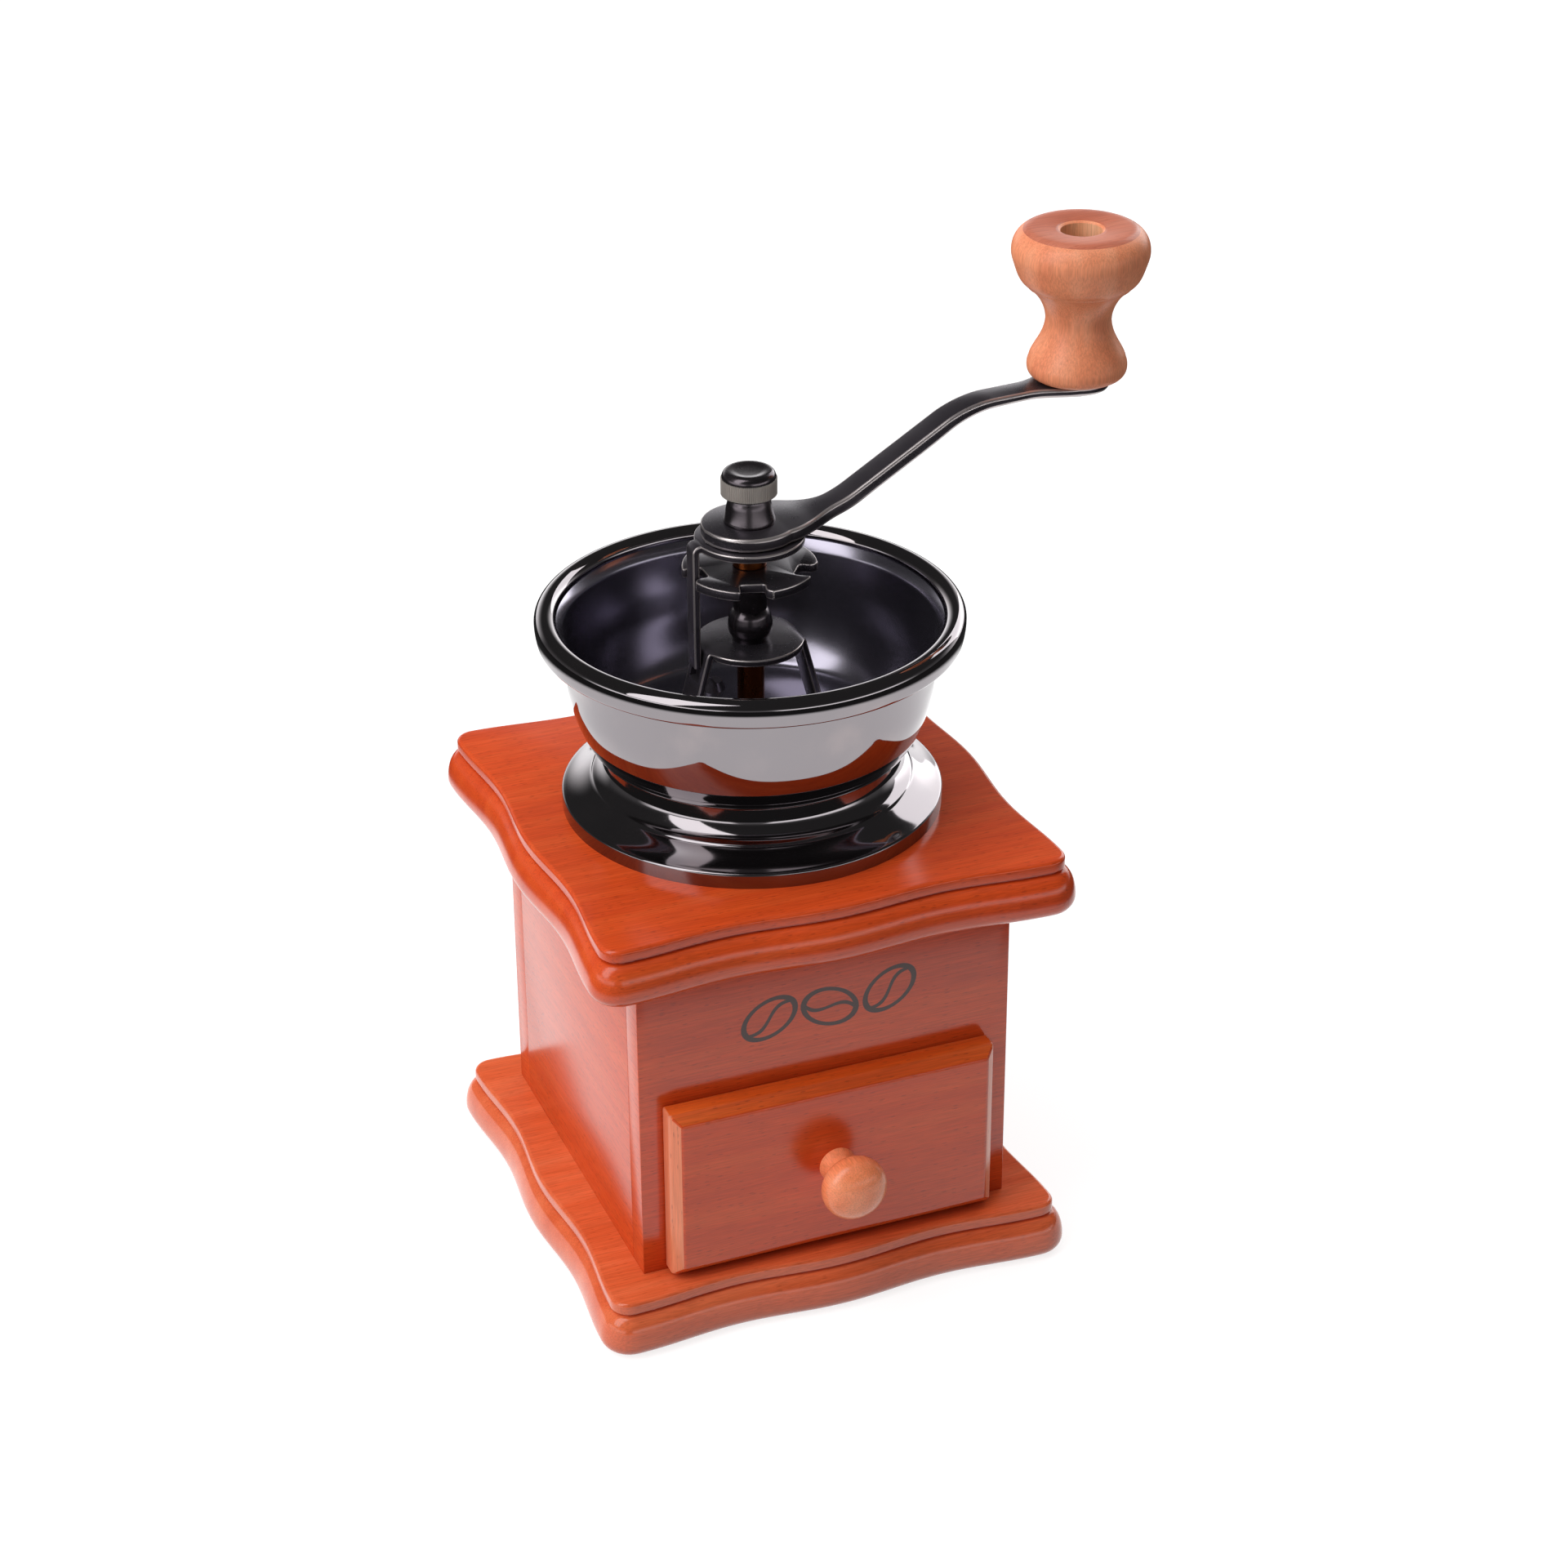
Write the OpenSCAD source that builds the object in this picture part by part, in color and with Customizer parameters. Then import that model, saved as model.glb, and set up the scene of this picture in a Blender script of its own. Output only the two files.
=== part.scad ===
// Hand-cranked burr coffee grinder: a wooden box with wavy top and base plates,
// a drawer for the grounds, a spun metal hopper and a crank with a turned knob.
// Origin: centre of the base plate's underside. +Z up, the drawer opens towards -Y.

/* [Case] */
// Half-width of the top and base plates at their lobes
plate_half = 65.4; // [56:0.1:78]
// Thickness of the top and base plates
plate_t = 15.5; // [13:0.1:20]
// Depth of the wave along each side of a plate
plate_wave = 2.05; // [1:0.05:3]
// Radius of the plates' corners in plan
plate_corner_r = 5; // [4:0.5:7]
// Setback of a plate's top face from its round edge
plate_step = 3; // [2.5:0.1:3.6]
// Height of the thin step above the round edge
plate_step_h = 3; // [2:0.1:4]
// Outside width and depth of the box between the plates
body_w = 102; // [96:1:112]
// Height of the box between the plates
body_h = 90; // [80:1:108]
// Thickness of the box panels
panel_t = 8; // [7:0.5:9]

/* [Drawer] */
// Width of the drawer's front board
drawer_front_w = 90; // [84:1:94]
// Height of the drawer's front board
drawer_front_h = 49.3; // [42:0.1:58]
// Thickness of the drawer's front board
drawer_front_t = 7.5; // [6:0.1:9]
// Width of the bevel around the front board
drawer_bevel = 2.6; // [1.5:0.1:3.5]
// Overlap of the front board over the opening's edges
drawer_lip = 6; // [4:0.5:8]
// Thickness of the drawer's sides and back
drawer_wall = 4; // [3:0.5:5]
// Thickness of the drawer's bottom
drawer_floor_t = 3; // [2:0.5:4]
// Length of the drawer's box behind its front board
drawer_depth = 88; // [72:1:90]
// Diameter of the drawer knob's head
drawer_knob_d = 17.4; // [14:0.1:21]
// Reach of the drawer knob in front of the board
drawer_knob_l = 17; // [14:0.1:20]

/* [Hopper] */
// Outside diameter of the bowl's rolled rim
rim_d = 110; // [100:1:124]
// Radius of the rolled bead
bead_r = 3; // [2.4:0.1:3.6]
// Height from the bowl's underside to the centre of the bead
bowl_h = 36.4; // [32:0.1:44]
// Outside radius of the bowl's wall below its flare
bowl_r = 46.4; // [43:0.1:48]
// Sheet thickness of the bowl and the skirt
sheet_t = 1.2; // [1:0.1:1.6]
// Outside diameter of the skirt on the top plate
skirt_d = 99; // [92:1:116]
// Height of the skirt, from the top plate to the bowl's underside
skirt_h = 16.2; // [14:0.1:19]
// Outside radius of the skirt's neck under the bowl
neck_r = 37; // [36:0.1:39]
// Radius of the hole in the bowl's floor
bowl_hole_r = 19; // [17.5:0.5:20]

/* [Mechanism] */
// Diameter of the drive shaft
shaft_d = 7; // [6:0.1:8]
// Across flats of the shaft's square drive
drive_w = 4.8; // [4:0.1:5.2]
// Diameter of the shaft's threaded ends
thread_d = 5; // [4:0.1:5.5]
// Outside diameter of the ring burr's barrel
ring_d = 48; // [46:0.5:50]
// Height of the ring burr below its flange
ring_h = 30; // [27:0.5:34]
// Thickness of the ring burr's flange
ring_flange_t = 3; // [2.5:0.5:4]
// Outside diameter of the ring burr's flange
ring_flange_d = 66; // [64:0.5:68]
// Radius of the grinding bore at its lower edge
grind_r = 18; // [17:0.1:19]
// Number of grooves in each burr
burr_grooves = 12; // [8:1:16]
// Gap between the burrs at their lower edges
grind_gap = 0.5; // [0.4:0.1:0.9]
// Height of the lower bridge's plate above the bowl's underside
bridge_h = 29.3; // [26:0.1:33]
// Radius of the lower bridge's round plate
bridge_r = 13.8; // [13:0.1:15]
// Width of the bridge's legs
bridge_leg_w = 9.6; // [9:0.1:11]
// Thickness of the bridge and locking plate straps
strap_t = 1.8; // [1.5:0.1:2.2]
// Outside radius of the sleeve on the bridge
sleeve_r = 5.4; // [5:0.1:6]
// Radius of the sleeve's threaded stem
stem_r = 4.3; // [4.2:0.1:4.6]
// Height of the sleeve's wide foot
sleeve_foot_h = 10.5; // [8:0.1:12]
// Height of the adjusting wheel above the bridge plate
wheel_rise = 18.2; // [16:0.1:21]
// Outside radius of the adjusting wheel
wheel_r = 17.2; // [16.8:0.1:19]
// Thickness of the adjusting wheel
wheel_t = 2.4; // [2:0.1:3]
// Number of notches in the adjusting wheel
wheel_notches = 5; // [3:1:6]
// Width of a notch in the adjusting wheel
notch_w = 6.4; // [6:0.1:8]
// Radius of the locking plate
lock_r = 14; // [13.6:0.1:15]
// Height of the brass bush between the adjusting wheel and the locking plate
bush_h = 6.4; // [5:0.1:8]
// Width of the locking plate's leg
lock_leg_w = 5; // [4:0.1:5.2]
// Distance from the axis to the outer face of the locking plate's leg
lock_leg_r = 16.1; // [15.9:0.1:16.6]

/* [Crank] */
// Radius of the crank from the shaft to the knob
crank_r = 94.4; // [80:0.1:114]
// Direction of the crank in plan, from +X towards +Y
crank_angle = 5; // [-30:1:30]
// Rise of the arm between its two flats
crank_rise = 21.2; // [17:0.1:26]
// Thickness of the crank arm
arm_t = 3.5; // [3:0.1:4.2]
// Width of the crank arm
arm_w = 8; // [7:0.1:10]
// Radius of the arm's round hub
hub_r = 12.3; // [11:0.1:13.5]
// Radius of the arm's round end under the knob
arm_end_r = 8.5; // [7:0.1:9.5]
// Distance from the shaft to the arm's lower bend
bend_from = 21.5; // [19:0.5:25]
// Slope of the arm between its bends
bend_slope = 28.5; // [24:0.5:34]
// Radius of the arm's bends
bend_r = 9; // [7:0.5:11]
// Diameter of the cap nut's knurled head
nut_d = 14.3; // [12:0.1:17]
// Height of the cap nut
nut_h = 13.9; // [12:0.1:17]
// Largest diameter of the crank knob
knob_d = 35.5; // [30:0.5:42]
// Height of the crank knob
knob_h = 40.2; // [34:0.1:48]
// Diameter of the knob's foot
knob_foot_d = 25.4; // [22:0.1:29]
// Diameter of the knob's waist
knob_waist_d = 16.7; // [15:0.1:19]
// Diameter of the counterbore in the knob's top
knob_cbore_d = 10.8; // [10:0.1:12.5]
// Depth of the counterbore in the knob's top
knob_cbore_depth = 14; // [10:0.5:16]
// Diameter of the knob's spindle
spindle_d = 6; // [5:0.1:6.6]

/* [Fits] */
// Radial clearance of a shaft or spindle that turns in its bore
run_fit = 0.06; // [0.03:0.01:0.1]
// Clearance around a fixed pin, screw or dowel
pin_fit = 0.05; // [0.02:0.01:0.2]
// Gap between faces that slide or turn past each other
slide_gap = 0.3; // [0.2:0.05:0.5]
// Side clearance of the drawer in its opening
drawer_gap = 0.5; // [0.3:0.1:1]

/* [Hidden] */
$fn = 64;
eps = 0.01;

wood = "#B4552F";
wood_light = "#C9794A";
wood_raw = "#D9B48A";
black_nickel = "#2A2827";
steel = "#8E8E8E";
brass = "#B08D4A";

// Heights of the main levels
z_case = plate_t;
z_top_under = z_case + body_h;
z_top = z_top_under + plate_t;
z_bowl = z_top + skirt_h;
z_floor = z_bowl + sheet_t;
z_bridge = z_bowl + bridge_h;
z_wheel = z_bridge + wheel_rise;
z_wheel_top = z_wheel + wheel_t;
z_lock = z_wheel_top + bush_h;
z_lock_top = z_lock + strap_t;
z_hub = z_lock_top + slide_gap;
z_hub_top = z_hub + arm_t;
z_arm_end = z_hub_top + crank_rise;
z_knob = z_arm_end + slide_gap;
z_knob_top = z_knob + knob_h;
z_ring_top = z_bowl - sheet_t;
z_ring_flange = z_ring_top - ring_flange_t;
z_ring = z_ring_flange - ring_h;

// Plates: a bullnose edge, a sharp groove and a thin step under the top face
groove_h = 0.8;
nose_h = plate_t - plate_step_h - groove_h;
nose_r = nose_h / 2;
nose_d = plate_corner_r - 1;
top_round = 0.7;

// Box
half = body_w / 2;
inner = half - panel_t;
side_len = body_w - 2 * panel_t;
screw_at = half - panel_t / 2;
screw_row = inner * 0.62;

// Screws and dowels of the box
screw_r = 1.6;
screw_head_r = 3.6;
screw_head_h = 2.4;
screw_sink = 4;
screw_grip = 12;
dowel_r = 2.5;
dowel_l = 15;

// Drawer
opening_w = drawer_front_w - 2 * drawer_lip;
z_drawer_front = z_case + 1.5;
opening_top = z_drawer_front + drawer_front_h - drawer_lip;
drawer_w = opening_w - 2 * drawer_gap;
z_drawer = z_case + slide_gap;
drawer_h = opening_top - drawer_gap - z_drawer;
y_front = -half - slide_gap;
y_face = y_front - drawer_front_t;
drawer_rear = y_front + drawer_depth;
z_drawer_knob = z_drawer_front + drawer_front_h / 2;
guide_w = inner - drawer_w / 2 - drawer_gap;
guide_h = 8;
knob_screw_r = 1.5;
knob_screw_grip = 9;

// Hopper bolts stand on a circle between the ring burr and the skirt's neck
bolt_r = 2;
bolt_fit = 0.2;
bolt_circle = (ring_d / 2 + ring_flange_d / 2) / 2 + 0.5;
bolt_head_r = 3.6;
bolt_head_h = 2.2;
bolt_nut_r = 4;
bolt_nut_h = 3.2;
washer_t = 1;
z_bolt_head = z_floor + strap_t;
z_nut = z_top_under - washer_t - bolt_nut_h;

// Grinding set
cone_top_r = 7.5;
cone_h = ring_h - 7;
cone_r = grind_r - grind_gap;
z_cone = z_ring + 1;
shaft_r = shaft_d / 2;
thread_r = thread_d / 2;
burr_nut_h = 4;
guide_drop = 12;
guide_w_strap = 9;
z_guide = z_ring - guide_drop;
guide_screw_r = (ring_d / 2 + grind_r) / 2;
guide_pin_r = 1.5;
guide_grip = 7;

// Rim bead centre
bead_c = rim_d / 2 - bead_r;

// ---------------------------------------------------------------- helpers

// Points on an arc about c, from angle a0 to a1
function arc(c, r, a0, a1, n) =
    [for (i = [0:n]) let (a = a0 + (a1 - a0) * i / n) [c[0] + r * cos(a), c[1] + r * sin(a)]];

// Points on a cubic Bezier curve
function bezier(p0, p1, p2, p3, n) =
    [for (i = [0:n]) let (t = i / n, s = 1 - t)
        s * s * s * p0 + 3 * s * s * t * p1 + 3 * s * t * t * p2 + t * t * t * p3];

function reverse(v) = [for (i = [len(v) - 1:-1:0]) v[i]];

// One side of a plate with the corner that follows it, facing +X; the wave dies out at the corners.
// The count keeps three points in a row from lying on one straight line at the wave's inflections
function plate_side(inset) =
    let (r = plate_corner_r - inset, edge = plate_half - inset, s = edge - r, n = 18)
    concat([for (i = [1:n - 1]) let (t = -s + 2 * s * i / n)
            [edge - plate_wave * (1 - cos(360 * t / s)) / 2, t]],
        arc([s, s], r, 0, 90, 4));

// Closed outline of a plate, drawn in from its widest line by inset
function plate_outline(inset) =
    [for (k = [0:3]) for (p = plate_side(inset))
        [p[0] * cos(90 * k) - p[1] * sin(90 * k), p[0] * sin(90 * k) + p[1] * cos(90 * k)]];

// The plate's edge from the underside to the top face, as [inset, height]
function plate_edge() =
    concat(
        [for (a = [-90:22.5:90]) [nose_d * (1 - cos(a)), nose_r + nose_r * sin(a)]],
        [[nose_d, nose_h + groove_h], [plate_step, nose_h + groove_h + 0.1],
            [plate_step, plate_t - top_round], [plate_step + top_round, plate_t]]);

// A solid skinned over rings of equal length
module skin(rings) {
    n = len(rings[0]);
    m = len(rings);
    sides = [for (j = [0:m - 2]) for (i = [0:n - 1]) let (k = (i + 1) % n) for (s = [0, 1])
        s == 0 ? [j * n + i, (j + 1) * n + i, (j + 1) * n + k] : [j * n + i, (j + 1) * n + k, j * n + k]];
    polyhedron(
        points = [for (ring = rings) for (p = ring) p],
        faces = concat([[for (i = [0:n - 1]) i]], sides,
            [[for (i = [n - 1:-1:0]) (m - 1) * n + i]]),
        convexity = 6);
}

// A plate with its moulded edge
module wavy_plate() {
    skin([for (e = plate_edge()) [for (p = plate_outline(e[0])) [p[0], p[1], e[1]]]]);
}

module at_ring(count, radius, start = 0) {
    for (k = [0:count - 1])
        rotate([0, 0, start + 360 * k / count])
            translate([radius, 0, 0])
                children();
}

module tube(r_out, r_in, h) {
    difference() {
        cylinder(r = r_out, h = h);
        translate([0, 0, -1])
            cylinder(r = r_in, h = h + 2);
    }
}

module case_corners() {
    for (sx = [-1, 1])
        for (sy = [-1, 1])
            translate([sx * screw_at, sy * screw_row, 0])
                children();
}

// ---------------------------------------------------------------- case

module base_plate() {
    color(wood)
        difference() {
            wavy_plate();
            case_corners() {
                translate([0, 0, -1])
                    cylinder(r = screw_r + 0.6, h = plate_t + 2);
                translate([0, 0, -1])
                    cylinder(r = screw_head_r + 0.8, h = screw_sink + 1);
            }
        }
}

module top_plate() {
    color(wood)
        difference() {
            translate([0, 0, z_top_under])
                wavy_plate();
            translate([0, 0, z_top_under - 1])
                cylinder(r = ring_d / 2 + 0.8, h = plate_t + 2);
            translate([0, 0, z_top_under - 1])
                at_ring(4, bolt_circle)
                    cylinder(r = bolt_r + bolt_fit, h = plate_t + 2);
            case_corners()
                translate([0, 0, z_top_under - 1])
                    cylinder(r = dowel_r + pin_fit, h = dowel_l / 2 + 1.2);
        }
}

module front_panel() {
    color(wood)
        translate([0, -half + panel_t / 2, 0])
            difference() {
                translate([-half, -panel_t / 2, z_case])
                    cube([body_w, panel_t, body_h]);
                translate([-opening_w / 2, -panel_t, z_case - 1])
                    cube([opening_w, 2 * panel_t, opening_top - z_case + 1]);
            }
}

module back_panel() {
    color(wood)
        translate([-half, inner, z_case])
            cube([body_w, panel_t, body_h]);
}

module side_panel() {
    difference() {
        translate([inner, -side_len / 2, z_case])
            cube([panel_t, side_len, body_h]);
        for (sy = [-1, 1])
            translate([screw_at, sy * screw_row, 0]) {
                translate([0, 0, z_case - 1])
                    cylinder(r = screw_r + pin_fit, h = screw_grip + 2);
                translate([0, 0, z_top_under - dowel_l / 2 - 0.2])
                    cylinder(r = dowel_r + pin_fit, h = dowel_l);
            }
    }
}

module right_panel() {
    color(wood)
        side_panel();
}

module left_panel() {
    color(wood)
        mirror([1, 0, 0])
            side_panel();
}

// Wood screws up through the base plate into the side panels
module base_screws() {
    color(steel)
        case_corners() {
            translate([0, 0, screw_sink - screw_head_h])
                cylinder(r = screw_head_r, h = screw_head_h);
            translate([0, 0, screw_sink - eps])
                cylinder(r = screw_r, h = z_case + screw_grip - screw_sink);
        }
}

// Dowels between the side panels and the top plate
module top_dowels() {
    color(wood_raw)
        case_corners()
            translate([0, 0, z_top_under - dowel_l / 2])
                cylinder(r = dowel_r, h = dowel_l);
}

// Strips beside the drawer that keep it straight
module drawer_guides() {
    color(wood_raw)
        for (sx = [-1, 1])
            translate([sx * (inner - guide_w / 2), 0, z_case + guide_h / 2])
                cube([guide_w, side_len, guide_h], center = true);
}

// ---------------------------------------------------------------- drawer

module drawer_front() {
    w = drawer_front_w / 2;
    h = drawer_front_h;
    b = drawer_bevel;
    color(wood)
        translate([0, y_front, z_drawer_front])
            difference() {
                translate([-w, -drawer_front_t, 0])
                    cube([2 * w, drawer_front_t, h]);
                // Bevels along the four edges of the face
                for (s = [-1, 1]) {
                    translate([s * w, -drawer_front_t, h / 2])
                        rotate([0, 0, 45])
                            cube([b * sqrt(2), b * sqrt(2), h + 2], center = true);
                    translate([0, -drawer_front_t, h / 2 + s * h / 2])
                        rotate([45, 0, 0])
                            cube([2 * w + 2, b * sqrt(2), b * sqrt(2)], center = true);
                }
                translate([0, 1, h / 2])
                    rotate([90, 0, 0])
                        cylinder(r = knob_screw_r + 0.3, h = drawer_front_t + 2);
            }
}

module drawer_side() {
    translate([drawer_w / 2 - drawer_wall, y_front, z_drawer])
        cube([drawer_wall, drawer_depth, drawer_h]);
}

module drawer_right_side() {
    color(wood_raw)
        drawer_side();
}

module drawer_left_side() {
    color(wood_raw)
        mirror([1, 0, 0])
            drawer_side();
}

module drawer_back() {
    w = drawer_w - 2 * drawer_wall;
    color(wood_raw)
        translate([-w / 2, drawer_rear - drawer_wall, z_drawer])
            cube([w, drawer_wall, drawer_h]);
}

module drawer_bottom() {
    w = drawer_w - 2 * drawer_wall;
    color(wood_raw)
        translate([-w / 2, y_front, z_drawer + 0.8])
            cube([w, drawer_depth - drawer_wall, drawer_floor_t]);
}

// Turned knob: a waisted stem and a round head
module drawer_knob() {
    r = drawer_knob_d / 2;
    l = drawer_knob_l;
    profile = concat([[0, 0], [5, 0]],
        bezier([5, 0.6], [4.2, 2.4], [4, 4.6], [5.6, 6.6], 6),
        bezier([5.9, 6.9], [7.6, 7.6], [r, 8.8], [r, 11.2], 6),
        bezier([r, 11.6], [r, 14.2], [r - 2.6, l - 0.5], [0, l], 8));
    color(wood_light)
        translate([0, y_face, z_drawer_knob])
            rotate([90, 0, 0])
                difference() {
                    rotate_extrude()
                        polygon(profile);
                    translate([0, 0, -1])
                        cylinder(r = knob_screw_r + pin_fit, h = knob_screw_grip + 1.5);
                }
}

module drawer_knob_screw() {
    color(steel)
        translate([0, y_front, z_drawer_knob])
            rotate([90, 0, 0]) {
                translate([0, 0, -2])
                    cylinder(r = 3.4, h = 2);
                translate([0, 0, -eps])
                    cylinder(r = knob_screw_r, h = drawer_front_t + knob_screw_grip);
            }
}

// ---------------------------------------------------------------- hopper

// The skirt's outer surface from its foot to the bowl, as [radius, height above the plate]
function skirt_line(r_foot, r_neck, h) =
    concat([[r_foot, 0]],
        bezier([r_foot, 2], [r_foot - 0.6, 4.6], [r_neck + 9, 6.4], [r_neck + 5, 7.2], 10),
        [[r_neck + 4.6, 8.4]],
        bezier([r_neck + 3.4, 9.2], [r_neck + 1.6, 9.6], [r_neck, 11], [r_neck, h - 1.5], 6),
        [[r_neck, h]]);

module hopper_skirt() {
    outside = skirt_line(skirt_d / 2, neck_r, skirt_h);
    inside = concat([[skirt_d / 2 - sheet_t, 0]],
        [for (p = skirt_line(skirt_d / 2 - sheet_t, neck_r - sheet_t, skirt_h))
            if (p[1] > 0) [p[0], min(p[1] - sheet_t, skirt_h - sheet_t)]]);
    lip = ring_d / 2 + 1;
    color(black_nickel)
        translate([0, 0, z_top])
            difference() {
                rotate_extrude($fn = 96)
                    polygon(concat(outside, [[lip, skirt_h], [lip, skirt_h - sheet_t]], reverse(inside)));
                at_ring(4, bolt_circle)
                    cylinder(r = bolt_r + bolt_fit, h = skirt_h + 1);
            }
}

// The bowl's wall line above its underside, drawn in by t, as [radius, height]
function bowl_line(t) =
    concat(
        bezier([neck_r - 1, t], [neck_r + 4.4, t], [bowl_r - t - 1.2, 5.5], [bowl_r - t, 13], 10),
        bezier([bowl_r - t, 13], [bowl_r - t + 0.3, 18], [bowl_r - t + 0.7, 21], [bowl_r - t + 1.4, 25], 6),
        bezier([bowl_r - t + 1.8, 26], [bowl_r - t + 2.6, 29], [bead_c - t - 1, bowl_h - 5],
            [bead_c - t, bowl_h - 3], 5));

module hopper_bowl() {
    profile = concat([[bowl_hole_r, 0]], bowl_line(0),
        arc([bead_c, bowl_h], bead_r, -80, 250, 22),
        reverse(bowl_line(sheet_t)),
        [[bowl_hole_r, sheet_t]]);
    color(black_nickel)
        translate([0, 0, z_bowl])
            difference() {
                rotate_extrude($fn = 96)
                    polygon(profile);
                translate([0, 0, -1])
                    at_ring(4, bolt_circle)
                        cylinder(r = bolt_r + bolt_fit, h = sheet_t + 2);
            }
}

// Bolts that clamp the bowl, the skirt and the ring burr to the top plate
module hopper_bolts() {
    color(black_nickel)
        for (k = [0:3])
            rotate([0, 0, 90 * k])
                translate([bolt_circle, 0, 0]) {
                    z_head = k % 2 == 0 ? z_bolt_head : z_floor;
                    difference() {
                        translate([0, 0, z_head])
                            cylinder(r1 = bolt_head_r, r2 = bolt_head_r - 1, h = bolt_head_h);
                        translate([0, 0, z_head + bolt_head_h])
                            cube([2 * bolt_head_r, 0.9, 2], center = true);
                    }
                    translate([0, 0, z_nut - 1])
                        cylinder(r = bolt_r, h = z_head - z_nut + 1 + eps);
                }
}

module hopper_washers() {
    color(steel)
        translate([0, 0, z_top_under - washer_t])
            at_ring(4, bolt_circle)
                tube(4.4, bolt_r + bolt_fit, washer_t);
}

module hopper_nuts() {
    color(steel)
        translate([0, 0, z_nut])
            at_ring(4, bolt_circle)
                difference() {
                    cylinder(r = bolt_nut_r, h = bolt_nut_h, $fn = 6);
                    translate([0, 0, -1])
                        cylinder(r = bolt_r + pin_fit, h = bolt_nut_h + 2, $fn = 32);
                }
}

// ---------------------------------------------------------------- grinding set

module ring_burr() {
    mouth_r = grind_r - 1.5;
    color(steel)
        difference() {
            union() {
                translate([0, 0, z_ring_flange])
                    cylinder(d = ring_flange_d, h = ring_flange_t);
                translate([0, 0, z_ring])
                    cylinder(d = ring_d, h = ring_h + eps);
            }
            translate([0, 0, z_ring - eps])
                cylinder(r1 = grind_r, r2 = mouth_r, h = ring_h + ring_flange_t + 2 * eps);
            // Sloping grooves that open out towards the mouth
            translate([0, 0, z_ring + 6])
                at_ring(burr_grooves, mouth_r - 1)
                    rotate([0, 5, 0])
                        translate([0, 0, ring_h / 2])
                            rotate([0, 0, 45])
                                cube([3, 3, ring_h], center = true);
            translate([0, 0, z_ring_flange - 1])
                at_ring(4, bolt_circle)
                    cylinder(r = bolt_r + bolt_fit, h = ring_flange_t + 2);
            translate([0, 0, z_ring - 1])
                at_ring(2, guide_screw_r, 90)
                    cylinder(r = guide_pin_r + pin_fit, h = guide_grip + 1.2);
        }
}

module cone_burr() {
    color(steel)
        difference() {
            translate([0, 0, z_cone])
                union() {
                    cylinder(r = cone_r, h = 3);
                    translate([0, 0, 3 - eps])
                        cylinder(r1 = cone_r, r2 = cone_top_r, h = cone_h - 3);
                }
            // Wide grooves up the cone
            lean = atan((cone_r - cone_top_r) / (cone_h - 3));
            translate([0, 0, z_cone + 3])
                at_ring(burr_grooves / 2, cone_r)
                    rotate([0, -lean, 0])
                        translate([0.4, 0, cone_h / 2])
                            rotate([0, 0, 45])
                                cube([3.4, 3.4, cone_h], center = true);
            translate([0, 0, z_cone - 1])
                cylinder(r = shaft_r + pin_fit, h = cone_h + 2);
        }
}

module drive_shaft() {
    z_foot = z_guide - 2;
    z_neck = z_cone;
    color(brass)
        union() {
            translate([0, 0, z_foot])
                cylinder(r = thread_r, h = z_neck - z_foot + eps);
            translate([0, 0, z_neck])
                cylinder(r = shaft_r, h = z_hub - z_neck);
            translate([-drive_w / 2, -drive_w / 2, z_hub - eps])
                cube([drive_w, drive_w, arm_t]);
            translate([0, 0, z_hub + arm_t - 2 * eps])
                cylinder(r = drive_w / 2, h = nut_h - 4);
        }
}

module burr_washer() {
    color(steel)
        translate([0, 0, z_cone - washer_t])
            tube(6.5, thread_r + pin_fit, washer_t);
}

module burr_nut() {
    color(steel)
        translate([0, 0, z_cone - washer_t - burr_nut_h])
            difference() {
                cylinder(r = 4.8, h = burr_nut_h, $fn = 6);
                translate([0, 0, -1])
                    cylinder(r = thread_r + pin_fit, h = burr_nut_h + 2);
            }
}

// Stirrup under the ring burr that steadies the shaft's foot
module lower_guide() {
    r = guide_screw_r;
    t = strap_t;
    color(steel)
        difference() {
            union() {
                rotate([90, 0, 90])
                    linear_extrude(guide_w_strap, center = true)
                        polygon([[-r - 3.6, z_ring], [-r + 3.2, z_ring], [-10, z_guide + t],
                            [10, z_guide + t], [r - 3.2, z_ring], [r + 3.6, z_ring],
                            [r + 3.6, z_ring - t], [r - 3, z_ring - t], [11, z_guide],
                            [-11, z_guide], [-r + 3, z_ring - t], [-r - 3.6, z_ring - t]]);
                translate([0, 0, z_guide])
                    cylinder(r = 5.5, h = t + 1.5);
            }
            translate([0, 0, z_guide - 1])
                cylinder(r = thread_r + run_fit, h = 6);
            translate([0, 0, z_ring - t - 1])
                at_ring(2, r, 90)
                    cylinder(r = guide_pin_r + pin_fit, h = t + 2);
        }
}

module guide_screws() {
    color(steel)
        at_ring(2, guide_screw_r, 90) {
            translate([0, 0, z_ring - strap_t - 1.8])
                cylinder(r = 2.8, h = 1.8);
            translate([0, 0, z_ring - strap_t - eps])
                cylinder(r = guide_pin_r, h = strap_t + guide_grip);
        }
}

// ---------------------------------------------------------------- bridge and adjuster

// Side view of the bridge: plate, two splayed legs and two feet
module bridge_outline() {
    t = strap_t;
    knee = bridge_r + 0.4;
    ankle = bridge_r + 6.6;
    foot = bolt_circle + 5;
    top = z_bridge;
    for (s = [-1, 1])
        scale([s, 1])
            polygon([[0, top], [knee - 1, top], [knee, top - 0.6], [ankle + 0.8, z_floor + t],
                [foot, z_floor + t], [foot, z_floor], [ankle - 0.6, z_floor],
                [knee - t, top - t], [0, top - t]]);
}

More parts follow.
